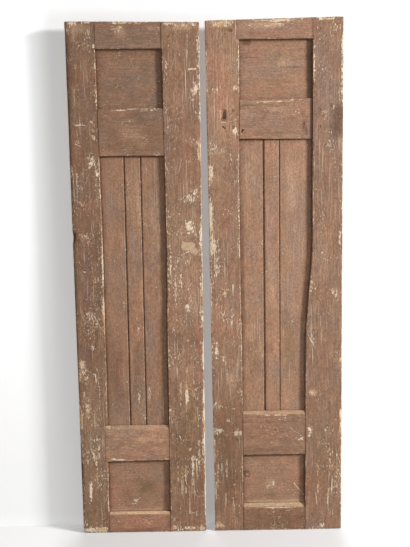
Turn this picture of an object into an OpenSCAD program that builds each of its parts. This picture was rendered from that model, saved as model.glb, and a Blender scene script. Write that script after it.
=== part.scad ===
// Pair of old frame-and-panel closet doors, two hand-made leaves that stand side by side.
// Each leaf has two stiles, four rails, two flat panels and three upright boards.
// Panels and boards float in grooves, and pegged through tenons hold the frame together.
// X runs across the pair, Z is up, and the front faces -Y.

/* [Frame] */
// Thickness of the stiles and rails
frame_t = 32; // [26:1:40]
// Thickness of the panels and boards
panel_t = 10; // [7:0.5:13]
// Depth of the panel groove in the stiles and rails
groove_depth = 12; // [8:1:16]
// Clearance on each face of a panel in its groove
panel_fit = 0.5; // [0.3:0.1:1]
// Gap between a panel's edge and the bottom of its groove
panel_end_gap = 0.8; // [0.4:0.1:0.9]
// Height at which the stiles start to change width
bend_low = 670; // [560:10:740]
// Height at which the stiles have their upper width
bend_high = 1100; // [1000:10:1180]

/* [Joints] */
// Clearance on each cheek of a tenon
tenon_fit = 0.15; // [0.05:0.05:0.3]
// Gap between a rail's shoulder and the stile
shoulder_gap = 0.6; // [0.3:0.1:0.9]
// How far a tenon stops short of the stile's outer edge
tenon_short = 0.5; // [0.2:0.1:0.9]
// Height of the haunch at the outer edge of the top and bottom tenons
haunch_h = 20; // [12:1:26]
// Diameter of the pegs
peg_d = 9; // [6:0.5:12]
// Clearance round a peg
peg_fit = 0.1; // [0.05:0.05:0.2]
// Distance of a peg from the shoulder
peg_inset = 22; // [18:1:40]
// Distance between the two pegs of a wide tenon
peg_spread = 56; // [40:1:70]

/* [Boards] */
// Width of the tongue between two boards
tongue_w = 6; // [4:0.5:8]
// Thickness of the tongue
tongue_t = 3.5; // [2.5:0.5:4.5]
// Clearance round the tongue
tongue_fit = 0.3; // [0.2:0.1:0.5]
// Chamfer on the boards' front edges at a seam
board_ease = 2; // [1:0.25:3]

/* [Left leaf] */
// Width at the foot
left_foot_w = 455; // [420:1:500]
// Width at the head
left_head_w = 461; // [420:1:500]
// How far the head rises from the hinge edge to the meeting edge
left_head_rise = -9; // [-12:1:12]
// Hinge stile's width at the foot, the lower bend, the upper bend and the head
left_hinge_stile_w = [97, 104, 106, 102]; // [80:1:140]
// Meeting stile's width at the same heights
left_meeting_stile_w = [131, 129.5, 126, 131]; // [80:1:150]
// Height of the bottom rail
left_bottom_rail_h = 78; // [64:1:110]
// Height of the bottom panel's opening
left_bottom_opening_h = 193; // [150:1:240]
// Height of the lower rail
left_lower_rail_h = 136; // [110:1:180]
// Height of the upper rail
left_upper_rail_h = 160; // [110:1:180]
// Height of the top panel's opening
left_top_opening_h = 202; // [150:1:240]
// Height of the top rail
left_top_rail_h = 93; // [64:1:110]
// Rise of each rail edge towards the meeting stile, from the bottom panel up
left_edge_rises = [0, 6, 0, -4, 0, -4]; // [-10:1:10]
// First seam's distance from the hinge edge, at the foot and the head
left_first_seam = [185, 189]; // [165:1:205]
// Second seam's distance from the hinge edge, at the foot and the head
left_second_seam = [243, 247]; // [225:1:265]
// Widths of the two seams
left_seam_gaps = [3.5, 3]; // [0.5:0.5:6]
// Heights of the worn bevels on the rails' front upper edges, from the bottom rail up
left_bevel_heights = [11, 20, 4, 0]; // [0:1:24]
// Depths of those bevels
left_bevel_depths = [6, 6, 3, 0]; // [0:1:9]
// How far the lower rail's end is housed in the hinge stile
left_lower_housing = 10; // [0:1:14]
// Radius of the worn outer corner at the foot
left_foot_wear = 12; // [2:1:20]
// Height of the broken place in the hinge edge
chip_height = 1095; // [900:1:1300]
// Length of the broken place
chip_length = 40; // [20:1:60]
// Depth of the broken place across the front
chip_depth = 11; // [4:1:14]
// Depth of the broken place into the edge
chip_reach = 18; // [8:1:19]

/* [Right leaf] */
// Width at the foot
right_foot_w = 466; // [420:1:500]
// Width at the head
right_head_w = 475; // [420:1:500]
// How much higher its hinge edge is than the left leaf's
right_extra_h = 1; // [-8:1:8]
// How far the head rises from the hinge edge to the meeting edge
right_head_rise = -6; // [-12:1:12]
// Hinge stile's width at the foot, the lower bend, the upper bend and the head
right_hinge_stile_w = [133, 131, 106, 105]; // [80:1:150]
// Meeting stile's width at the same heights
right_meeting_stile_w = [105, 109.5, 108.5, 117]; // [80:1:140]
// Height of the bottom rail
right_bottom_rail_h = 101; // [64:1:120]
// Height of the bottom panel's opening
right_bottom_opening_h = 188; // [150:1:240]
// Height of the lower rail
right_lower_rail_h = 165; // [110:1:180]
// Height of the upper rail
right_upper_rail_h = 142; // [110:1:180]
// Height of the top panel's opening
right_top_opening_h = 196; // [150:1:240]
// Height of the top rail
right_top_rail_h = 73; // [60:1:110]
// Rise of each rail edge towards the meeting stile, from the bottom panel up
right_edge_rises = [1, 0, 0, 7, -3, 4]; // [-10:1:10]
// First seam's distance from the hinge edge, at the foot and the head
right_first_seam = [223, 221]; // [205:1:240]
// Second seam's distance from the hinge edge, at the foot and the head
right_second_seam = [278, 277]; // [260:1:300]
// Widths of the two seams
right_seam_gaps = [1.5, 5]; // [0.5:0.5:6]
// Heights of the worn bevels on the rails' front upper edges, from the bottom rail up
right_bevel_heights = [18, 14, 6, 0]; // [0:1:24]
// Depths of those bevels
right_bevel_depths = [9, 6, 4, 0]; // [0:1:9]
// How far the top rail's end is housed in the meeting stile
right_top_housing = 9; // [0:1:14]
// How far the upper rail's face falls back at the hinge stile
right_upper_setback = 5; // [0:0.5:8]
// Radius of the worn outer corner at the foot
right_foot_wear = 5; // [2:1:20]
// Width of the recess that a lost catch plate left in the meeting stile
catch_w = 17; // [10:1:30]
// Height of that recess
catch_h = 33; // [20:1:50]
// Depth of that recess
catch_depth = 2; // [1:0.5:5]
// Distance of the recess from the meeting edge
catch_inset = 49; // [35:1:56]
// Distance of the recess's middle from the head
catch_drop = 321; // [290:1:340]
// Diameter of the old screw hole below the recess
screw_hole_d = 6; // [4:0.5:9]
// Depth of the screw hole
screw_hole_depth = 14; // [6:1:20]
// Distance of the screw hole below the recess's middle
screw_hole_drop = 43; // [36:1:60]
// Diameter of the old bolt hole in the upper rail
bolt_hole_d = 7; // [5:0.5:10]
// Depth of the bolt hole
bolt_hole_depth = 14; // [6:1:20]
// Distance of the bolt hole from the meeting stile
bolt_hole_inset = 12; // [8:1:40]
// Distance of the bolt hole from the rail's lower edge
bolt_hole_rise = 30; // [20:1:60]

/* [Pair] */
// Height of the left leaf's hinge edge
hinge_edge_h = 1833; // [1700:1:1950]
// Gap between the leaves where they come nearest
leaf_gap = 18; // [8:1:40]
// Radius of the worn outer corners at the head
head_wear = 5; // [2:1:10]

/* [Hidden] */

$fn = 48;
groove_w = panel_t + 2 * panel_fit;
tenon_t = groove_w - 2 * tenon_fit;
panel_edge = groove_depth - panel_end_gap;
left_w = max(left_foot_w, left_head_w);
right_w = max(right_foot_w, right_head_w);
pair_w = left_w + leaf_gap + right_w;
front_y = -frame_t / 2;
panel_front_y = -panel_t / 2;
// Spacing of the points along a crooked edge
edge_step = 60;
// Length by which a cut runs past the face that it opens
past = 1;
BOTTOM = 0;
LOWER = 1;
UPPER = 2;
TOP = 3;
RAILS = [BOTTOM, LOWER, UPPER, TOP];

// Heights at the hinge edge of the foot, the six rail edges and the head
function edge_levels(h, bottom, bottom_open, lower, upper, top_open, top) =
    [0, bottom, bottom + bottom_open, bottom + bottom_open + lower,
     h - top - top_open - upper, h - top - top_open, h - top, h];

left_leaf = [
    [left_foot_w, left_head_w],
    edge_levels(hinge_edge_h, left_bottom_rail_h, left_bottom_opening_h, left_lower_rail_h,
                left_upper_rail_h, left_top_opening_h, left_top_rail_h),
    concat([0], left_edge_rises, [left_head_rise]),
    [left_hinge_stile_w, left_meeting_stile_w],
    [left_first_seam, left_second_seam],
    left_seam_gaps,
    [left_bevel_heights, left_bevel_depths],
    [[0, left_lower_housing, 0, 0], [0, 0, 0, 0]],
    0,
    left_foot_wear
];
right_leaf = [
    [right_foot_w, right_head_w],
    edge_levels(hinge_edge_h + right_extra_h, right_bottom_rail_h, right_bottom_opening_h,
                right_lower_rail_h, right_upper_rail_h, right_top_opening_h, right_top_rail_h),
    concat([0], right_edge_rises, [right_head_rise]),
    [right_hinge_stile_w, right_meeting_stile_w],
    [right_first_seam, right_second_seam],
    right_seam_gaps,
    [right_bevel_heights, right_bevel_depths],
    [[0, 0, 0, 0], [0, 0, 0, right_top_housing]],
    right_upper_setback,
    right_foot_wear
];

// What each entry of a leaf's list holds
function foot_w(leaf) = leaf[0][0];
function head_w(leaf) = leaf[0][1];
function level(leaf, edge) = leaf[1][edge];
function leaf_h(leaf) = leaf[1][7];
function rise(leaf, edge) = leaf[2][edge];
function stile_widths(leaf, side) = leaf[3][side];
function seam_ends(leaf, seam) = leaf[4][seam];
function seam_gap(leaf, seam) = leaf[5][seam];
function bevel_h(leaf, rail) = leaf[6][0][rail];
function bevel_d(leaf, rail) = leaf[6][1][rail];
function housing(leaf, side, rail) = leaf[7][side][rail];
function setback(leaf) = leaf[8];
function foot_wear(leaf) = leaf[9];
HINGE = 0;
MEETING = 1;

// A leaf is drawn with s across it from the hinge edge and z up
function mix(a, b, t) = a + (b - a) * t;
function ease(t) = t * t * (3 - 2 * t);
function leaf_w(leaf, z) = mix(foot_w(leaf), head_w(leaf), z / leaf_h(leaf));
function stile_w(leaf, side, z) =
    let (w = stile_widths(leaf, side), h = leaf_h(leaf))
    z < bend_low ? mix(w[0], w[1], ease(max(z, 0) / bend_low))
    : z < bend_high ? mix(w[1], w[2], ease((z - bend_low) / (bend_high - bend_low)))
    : mix(w[2], w[3], ease(min(z - bend_high, h - bend_high) / (h - bend_high)));
// Inner edge of a stile, moved into the stile by grow
function inner_s(leaf, side, z, grow = 0) =
    side == HINGE ? stile_w(leaf, side, z) - grow : leaf_w(leaf, z) - stile_w(leaf, side, z) + grow;
function outer_s(leaf, side, z, short = 0) = side == HINGE ? short : leaf_w(leaf, z) - short;
function edge_z(leaf, edge, s) = level(leaf, edge) + rise(leaf, edge) * s / foot_w(leaf);
// Height at which a rail edge meets a stile
function corner_z(leaf, edge, side) = edge_z(leaf, edge, inner_s(leaf, side, level(leaf, edge)));
function seam_s(leaf, seam, z) =
    let (ends = seam_ends(leaf, seam))
    mix(ends[0], ends[1], (z - level(leaf, 3)) / (level(leaf, 4) - level(leaf, 3)));
// Heights of the points on a crooked edge between two heights
function edge_heights(low, high) =
    let (first = floor(low / edge_step) + 1, last = ceil(high / edge_step) - 1)
    concat([low], [for (k = [first : last]) k * edge_step], [high]);
function backwards(points) = [for (k = [len(points) - 1 : -1 : 0]) points[k]];
function arc(centre, r, from, to, steps = 6) =
    [for (k = [0 : steps]) let (a = mix(from, to, k / steps)) centre + r * [cos(a), sin(a)]];

// Points up a stile's inner edge between two rail edges
function side_points(leaf, side, low_edge, high_edge, grow, low_grow, high_grow) =
    [for (z = edge_heights(corner_z(leaf, low_edge, side) - low_grow,
                           corner_z(leaf, high_edge, side) + high_grow))
        [inner_s(leaf, side, z, grow), z]];
// Outline between two rail edges and the two stiles, grown on each side
function field(leaf, low_edge, high_edge, grow, low_grow, high_grow) =
    concat(side_points(leaf, HINGE, low_edge, high_edge, grow, low_grow, high_grow),
           backwards(side_points(leaf, MEETING, low_edge, high_edge, grow, low_grow, high_grow)));

module slab(t) {
    rotate([90, 0, 0])
        linear_extrude(height = t, center = true)
            children();
}

module on_left() {
    translate([-pair_w / 2, 0, 0])
        children();
}

module on_right() {
    mirror([1, 0, 0])
        on_left()
            children();
}

// Foot and head of a rail's tenon at a distance s from the hinge edge
function has_haunch_below(rail) = rail == BOTTOM;
function has_haunch_above(rail) = rail == TOP;
function tenon_low(leaf, rail, s) =
    edge_z(leaf, 2 * rail, s) + (has_haunch_below(rail) ? haunch_h : groove_depth);
function tenon_high(leaf, rail, s) =
    edge_z(leaf, 2 * rail + 1, s) - (has_haunch_above(rail) ? haunch_h : groove_depth);

// Both tenons of a rail as one strip across the leaf
module tenon_strip(leaf, rail, short, grow) {
    far_low = outer_s(leaf, MEETING, tenon_low(leaf, rail, foot_w(leaf)), short);
    far_high = outer_s(leaf, MEETING, tenon_high(leaf, rail, foot_w(leaf)), short);
    near = outer_s(leaf, HINGE, 0, short);
    polygon([[near, tenon_low(leaf, rail, near) - grow],
             [far_low, tenon_low(leaf, rail, far_low) - grow],
             [far_high, tenon_high(leaf, rail, far_high) + grow],
             [near, tenon_high(leaf, rail, near) + grow]]);
}

// Haunches that fill the stiles' grooves at the head or foot of a leaf
module haunches(leaf, rail) {
    reach = groove_depth - tenon_short;
    if (has_haunch_below(rail))
        polygon(field(leaf, 0, 1, reach, 0, -groove_depth));
    if (has_haunch_above(rail))
        polygon(field(leaf, 6, 7, reach, -groove_depth, 0));
}

// Strip that the panel groove takes out of a rail, up or down from one edge
module edge_groove(leaf, edge, way) {
    far = max(foot_w(leaf), head_w(leaf));
    mouth = -way * past;
    bottom = way * groove_depth;
    polygon([[0, edge_z(leaf, edge, 0) + mouth], [far, edge_z(leaf, edge, far) + mouth],
             [far, edge_z(leaf, edge, far) + bottom], [0, edge_z(leaf, edge, 0) + bottom]]);
}

// Centres of a rail's pegs in one stile
function peg_heights(rail) = rail == BOTTOM || rail == TOP ? [0] : [-peg_spread / 2, peg_spread / 2];
function peg_centres(leaf, rail, side) =
    let (s0 = inner_s(leaf, side, level(leaf, 2 * rail), peg_inset + housing(leaf, side, rail)),
         middle = (tenon_low(leaf, rail, s0) + tenon_high(leaf, rail, s0)) / 2)
    [for (dz = peg_heights(rail))
        [inner_s(leaf, side, middle + dz, peg_inset + housing(leaf, side, rail)), middle + dz]];

module peg_rods(leaf, rail, side, d, length) {
    for (c = peg_centres(leaf, rail, side))
        translate([c[0], 0, c[1]])
            rotate([90, 0, 0])
                cylinder(d = d, h = length, center = true);
}

module peg_bores(leaf, rail, side) {
    peg_rods(leaf, rail, side, peg_d + 2 * peg_fit, frame_t + 2 * past);
}

// Sloping cut along a rail's front upper edge
module bevel_cut(leaf, rail) {
    edge = 2 * rail + 1;
    slope = atan(rise(leaf, edge) / foot_w(leaf));
    length = foot_w(leaf);
    translate([0, front_y, level(leaf, edge)])
        rotate([0, -slope, 0])
            rotate([90, 0, 90])
                linear_extrude(height = length)
                    polygon([[-past, -bevel_h(leaf, rail) * (1 + past / bevel_d(leaf, rail))],
                             [bevel_d(leaf, rail), 0],
                             [bevel_d(leaf, rail), past],
                             [-past, past]]);
}

// Wedge by which the upper rail's face falls back towards the hinge stile
module setback_cut(leaf) {
    hinge_s = inner_s(leaf, HINGE, level(leaf, 4));
    meeting_s = inner_s(leaf, MEETING, level(leaf, 4));
    translate([0, 0, level(leaf, 3)])
        linear_extrude(height = level(leaf, 6) - level(leaf, 3))
            polygon([[meeting_s, front_y], [meeting_s, front_y - past],
                     [hinge_s, front_y - past], [hinge_s, front_y + setback(leaf)]]);
}

// A rail's outline between its shoulders, with any housed end
module rail_outline(leaf, rail, gap) {
    polygon(field(leaf, 2 * rail, 2 * rail + 1, -gap, 0, 0));
    for (side = [HINGE, MEETING])
        if (housing(leaf, side, rail) > 0)
            housed_end(leaf, rail, side, gap, 0);
}

// The stretch of a rail that is let into a stile
module housed_end(leaf, rail, side, gap, grow) {
    inward = side_points(leaf, side, 2 * rail, 2 * rail + 1, -groove_depth, grow, grow);
    outward = side_points(leaf, side, 2 * rail, 2 * rail + 1, housing(leaf, side, rail) - gap, grow, grow);
    polygon(concat(inward, backwards(outward)));
}

module rail(leaf, rail) {
    color("#8b6a5a")
        difference() {
            union() {
                slab(frame_t)
                    rail_outline(leaf, rail, shoulder_gap);
                slab(tenon_t)
                    tenon_strip(leaf, rail, tenon_short, 0);
                slab(tenon_t)
                    haunches(leaf, rail);
            }
            if (!has_haunch_below(rail))
                slab(groove_w)
                    edge_groove(leaf, 2 * rail, 1);
            if (!has_haunch_above(rail))
                slab(groove_w)
                    edge_groove(leaf, 2 * rail + 1, -1);
            if (bevel_h(leaf, rail) > 0 && bevel_d(leaf, rail) > 0)
                bevel_cut(leaf, rail);
            if (rail == UPPER && setback(leaf) > 0)
                setback_cut(leaf);
            for (side = [HINGE, MEETING])
                peg_bores(leaf, rail, side);
            children();
        }
}

// Front view of a stile, with worn outer corners
module stile_outline(leaf, side) {
    h = leaf_h(leaf);
    inner = [for (z = edge_heights(0, corner_z(leaf, 7, side))) [inner_s(leaf, side, z), z]];
    outward = side == HINGE ? 1 : -1;
    foot_r = side == HINGE ? foot_wear(leaf) : head_wear;
    foot_c = [outer_s(leaf, side, 0) + outward * foot_r, foot_r];
    head_s = outer_s(leaf, side, h);
    head_c = [head_s + outward * head_wear, edge_z(leaf, 7, head_s) - head_wear];
    outer = side == HINGE
        ? concat(arc(head_c, head_wear, 90, 180), arc(foot_c, foot_r, 180, 270))
        : concat(arc(head_c, head_wear, 90, 0), arc(foot_c, foot_r, 0, -90));
    polygon(concat(inner, outer));
}

// Groove down the whole inner edge of a stile
module stile_groove(leaf, side) {
    top = max(level(leaf, 7), level(leaf, 7) + rise(leaf, 7)) + past;
    heights = edge_heights(-past, top);
    polygon(concat([for (z = heights) [inner_s(leaf, side, z, -past), z]],
                   backwards([for (z = heights) [inner_s(leaf, side, z, groove_depth), z]])));
}

module stile(leaf, side) {
    color("#86665a")
        difference() {
            slab(frame_t)
                stile_outline(leaf, side);
            slab(groove_w)
                stile_groove(leaf, side);
            for (rail = RAILS) {
                slab(groove_w)
                    tenon_strip(leaf, rail, -past, tenon_fit);
                peg_bores(leaf, rail, side);
                if (housing(leaf, side, rail) > 0)
                    slab(frame_t + 2 * past)
                        housed_end(leaf, rail, side, 0, shoulder_gap);
            }
            children();
        }
}

// Scoop where a piece of the hinge edge's front corner has broken away
module edge_chip() {
    half_length = chip_length / 2;
    front_r = (half_length * half_length + chip_depth * chip_depth) / (2 * chip_depth);
    out_s = front_r - chip_depth;
    out_y = (half_length * half_length - chip_reach * chip_reach) / (2 * chip_reach);
    translate([-out_s, front_y - out_y, chip_height])
        sphere(r = norm([front_r, out_y]));
}

// Shallow recess of the lost catch plate, and the screw hole below it
module catch_marks() {
    leaf = right_leaf;
    z = leaf_h(leaf) - catch_drop;
    s = outer_s(leaf, MEETING, z) - catch_inset - catch_w / 2;
    translate([s - catch_w / 2, front_y - past, z - catch_h / 2])
        cube([catch_w, catch_depth + past, catch_h]);
    translate([s, front_y - past, z - screw_hole_drop])
        rotate([-90, 0, 0])
            cylinder(d = screw_hole_d, h = screw_hole_depth + past);
}

// Bolt hole in the upper rail, by the meeting stile
module bolt_hole() {
    leaf = right_leaf;
    s = inner_s(leaf, MEETING, level(leaf, 4)) - bolt_hole_inset;
    translate([s, front_y - past, edge_z(leaf, 4, s) + bolt_hole_rise])
        rotate([-90, 0, 0])
            cylinder(d = bolt_hole_d, h = bolt_hole_depth + past);
}

module panel(leaf, low_edge) {
    color("#937262")
        slab(panel_t)
            polygon(field(leaf, low_edge, low_edge + 1, panel_edge, panel_edge, panel_edge));
}

// Ends of a board at a distance s from the hinge edge
function board_low(leaf, s) = edge_z(leaf, 3, s) - panel_edge;
function board_high(leaf, s) = edge_z(leaf, 4, s) + panel_edge;
// The two ends of a seam's line, moved across by shift and lengthened by over
function seam_points(leaf, seam, shift, over = 0) =
    let (foot = seam_s(leaf, seam, level(leaf, 3)) + shift,
         head = seam_s(leaf, seam, level(leaf, 4)) + shift)
    [[foot, board_low(leaf, foot) - over], [head, board_high(leaf, head) + over]];
function groove_points(leaf, side) = side_points(leaf, side, 3, 4, panel_edge, panel_edge, panel_edge);

// Strip along a seam between two shifts of its line
module seam_strip(leaf, seam, from, to, over) {
    polygon(concat(seam_points(leaf, seam, from, over), backwards(seam_points(leaf, seam, to, over))));
}

module seam_tongue(leaf, seam) {
    half = seam_gap(leaf, seam) / 2;
    slab(tongue_t)
        seam_strip(leaf, seam, -half - past, half + tongue_w, 0);
}

module seam_groove(leaf, seam) {
    half = seam_gap(leaf, seam) / 2;
    slab(tongue_t + 2 * tongue_fit)
        seam_strip(leaf, seam, half - past, half + tongue_w + tongue_fit, past);
}

// Chamfers on both front edges of a seam
module seam_ease(leaf, seam) {
    half = seam_gap(leaf, seam) / 2;
    // The slopes run on a little into the seam, clear of the boards
    inner = half / 3;
    inner_depth = board_ease + half - inner;
    ends = seam_points(leaf, seam, 0);
    run = ends[1] - ends[0];
    translate([ends[0][0], panel_front_y, ends[0][1]])
        rotate([0, atan(run[0] / run[1]), 0])
            translate([0, 0, -panel_edge])
                linear_extrude(height = norm(run) + 2 * panel_edge)
                    polygon([[-half - board_ease - past, -past], [half + board_ease + past, -past],
                             [inner, inner_depth], [-inner, inner_depth]]);
}

// Boards run from the hinge stile through two seams to the meeting stile
module board(leaf, place) {
    near = place == 0
        ? groove_points(leaf, HINGE)
        : seam_points(leaf, place - 1, seam_gap(leaf, place - 1) / 2);
    far = place == 2
        ? groove_points(leaf, MEETING)
        : seam_points(leaf, place, -seam_gap(leaf, place) / 2);
    color("#8f7061")
        difference() {
            union() {
                slab(panel_t)
                    polygon(concat(near, backwards(far)));
                if (place < 2)
                    seam_tongue(leaf, place);
            }
            if (place > 0) {
                seam_groove(leaf, place - 1);
                seam_ease(leaf, place - 1);
            }
            if (place < 2)
                seam_ease(leaf, place);
        }
}

module pegs(leaf) {
    color("#7a5f4e")
        for (rail = RAILS)
            for (side = [HINGE, MEETING])
                peg_rods(leaf, rail, side, peg_d, frame_t);
}

on_left() stile(left_leaf, HINGE) edge_chip();  // left_hinge_stile
on_left() stile(left_leaf, MEETING);  // left_meeting_stile
on_left() rail(left_leaf, BOTTOM);  // left_bottom_rail
on_left() rail(left_leaf, LOWER);  // left_lower_rail
on_left() rail(left_leaf, UPPER);  // left_upper_rail
on_left() rail(left_leaf, TOP);  // left_top_rail
on_left() panel(left_leaf, 1);  // left_bottom_panel
on_left() panel(left_leaf, 5);  // left_top_panel
on_left() board(left_leaf, 0);  // left_hinge_board
on_left() board(left_leaf, 1);  // left_middle_board
on_left() board(left_leaf, 2);  // left_meeting_board
on_left() pegs(left_leaf);  // left_pegs
on_right() stile(right_leaf, HINGE);  // right_hinge_stile
on_right() stile(right_leaf, MEETING) catch_marks();  // right_meeting_stile
on_right() rail(right_leaf, BOTTOM);  // right_bottom_rail
on_right() rail(right_leaf, LOWER);  // right_lower_rail
on_right() rail(right_leaf, UPPER) bolt_hole();  // right_upper_rail
on_right() rail(right_leaf, TOP);  // right_top_rail
on_right() panel(right_leaf, 1);  // right_bottom_panel
on_right() panel(right_leaf, 5);  // right_top_panel
on_right() board(right_leaf, 0);  // right_hinge_board
on_right() board(right_leaf, 1);  // right_middle_board
on_right() board(right_leaf, 2);  // right_meeting_board
on_right() pegs(right_leaf);  // right_pegs
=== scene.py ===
import functools
import itertools
import logging
import math
from dataclasses import dataclass, field, replace
from enum import Enum

import bmesh
import bpy
import numpy as np
from bpy.types import ID, Material, Mesh, Node, NodeSocket, NodeTree, Object
from mathutils import Matrix, Vector
from mathutils.bvhtree import BVHTree


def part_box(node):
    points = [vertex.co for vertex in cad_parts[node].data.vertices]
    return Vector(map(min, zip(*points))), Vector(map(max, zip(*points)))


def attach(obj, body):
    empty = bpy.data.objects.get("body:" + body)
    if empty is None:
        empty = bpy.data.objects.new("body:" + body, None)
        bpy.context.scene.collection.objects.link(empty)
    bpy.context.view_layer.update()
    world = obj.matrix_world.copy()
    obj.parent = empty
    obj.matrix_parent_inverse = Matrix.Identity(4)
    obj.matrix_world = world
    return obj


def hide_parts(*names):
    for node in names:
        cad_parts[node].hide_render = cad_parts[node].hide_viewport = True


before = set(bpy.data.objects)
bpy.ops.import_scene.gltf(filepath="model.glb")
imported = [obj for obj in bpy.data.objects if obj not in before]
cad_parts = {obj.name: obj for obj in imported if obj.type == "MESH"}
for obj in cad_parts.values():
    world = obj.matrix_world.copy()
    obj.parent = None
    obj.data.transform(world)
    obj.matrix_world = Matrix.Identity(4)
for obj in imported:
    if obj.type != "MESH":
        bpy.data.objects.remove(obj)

LOG = logging.getLogger("closet_doors")
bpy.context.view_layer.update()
MM = 0.001
BODY = "root"

Array = np.ndarray
Colour = tuple[float, float, float, float]
Triple = tuple[float, float, float]
Range = tuple[float, ...]
Spot = tuple[float, ...]
Feed = float | Colour | Triple | NodeSocket


def srgb(red: int, green: int, blue: int) -> Colour:
    """Give the linear colour of an 8-bit screen colour.

    Args:
        red: Red from 0 to 255.
        green: Green from 0 to 255.
        blue: Blue from 0 to 255.

    Returns:
        The colour as Blender's sockets take it, with full alpha.
    """
    parts = [c / 255 for c in (red, green, blue)]
    linear = [c / 12.92 if c <= 0.04045 else ((c + 0.055) / 1.055) ** 2.4 for c in parts]
    return (linear[0], linear[1], linear[2], 1.0)


def smooth(values: Array, low: float, high: float) -> Array:
    """Ease values from 0 at low to 1 at high.

    Args:
        values: Any numbers.
        low: Where the result is 0.
        high: Where the result is 1.

    Returns:
        An array of the same shape.
    """
    part = np.clip((values - low) / (high - low), 0.0, 1.0)
    return part * part * (3 - 2 * part)


class Way(Enum):
    """Axis along which a board's grain runs."""

    ACROSS = 0
    UP = 2


class Slot(Enum):
    """Material slots of the record."""

    FRAME = "frame_paint"
    PANEL = "panel_paint"
    PEG = "peg_wood"


# Factors and shifts that scatter the bits of a lattice corner.
HASH_AXES = (73856093, 19349663, 83492791)
HASH_SEED = 2654435761
HASH_MIX = ((29, 0xBF58476D1CE4E5B9), (32, 0x94D049BB133111EB))
HASH_KEPT = (40, 0xFFFF)
LAYER_SHIFT = 17.3
LAYER_SUM = 1.5


@dataclass(frozen=True)
class Noise:
    """Smooth seeded noise between -1 and 1."""

    seed: int

    def corner(self, cell: Array) -> Array:
        """Give each lattice corner its random value.

        Args:
            cell: Whole-number corners, one row each.

        Returns:
            One value from -1 to 1 for each row.
        """
        c = cell.astype(np.uint64)
        h = np.full(len(c), self.seed * HASH_SEED, np.uint64)
        for axis, prime in enumerate(HASH_AXES):
            h = h ^ c[:, axis] * np.uint64(prime)
        for shift, factor in HASH_MIX:
            h = (h ^ (h >> np.uint64(shift))) * np.uint64(factor)
        shift, most = HASH_KEPT
        return ((h >> np.uint64(shift)) & np.uint64(most)).astype(float) / (most / 2) - 1

    def at(self, points: Array) -> Array:
        """Give the noise at points.

        Args:
            points: One row of three coordinates each.

        Returns:
            One value from -1 to 1 for each row.
        """
        cell = np.floor(points).astype(np.int64)
        part = smooth(points - cell, 0, 1)
        total = np.zeros(len(points))
        for step in itertools.product((0, 1), repeat=3):
            weight = np.prod(np.where(np.array(step) == 1, part, 1 - part), axis=1)
            total += weight * self.corner(cell + np.array(step))
        return total

    def layered(self, points: Array, layers: int = 3) -> Array:
        """Add finer layers of the noise, each half as strong.

        Args:
            points: One row of three coordinates each.
            layers: How many layers to add.

        Returns:
            One value of about -1 to 1 for each row.
        """
        rows = [self.at(points * 2.0**k + LAYER_SHIFT * k) * 0.5**k for k in range(layers)]
        return sum(rows) / LAYER_SUM


# How a back face is told, and how its outline is cut by lines and carried on past its ends.
FLAT_NORMAL = 0.99
FLAT_PLAY = 0.1 * MM
OUTLINE_CUTS = 200
OUTLINE_MARGIN = 15 * MM
OUTLINE_CARRY = 60 * MM
SLOPE_CUTS = 4
DIP_REACH = 11
PLACE_ROUNDS = 4


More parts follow.
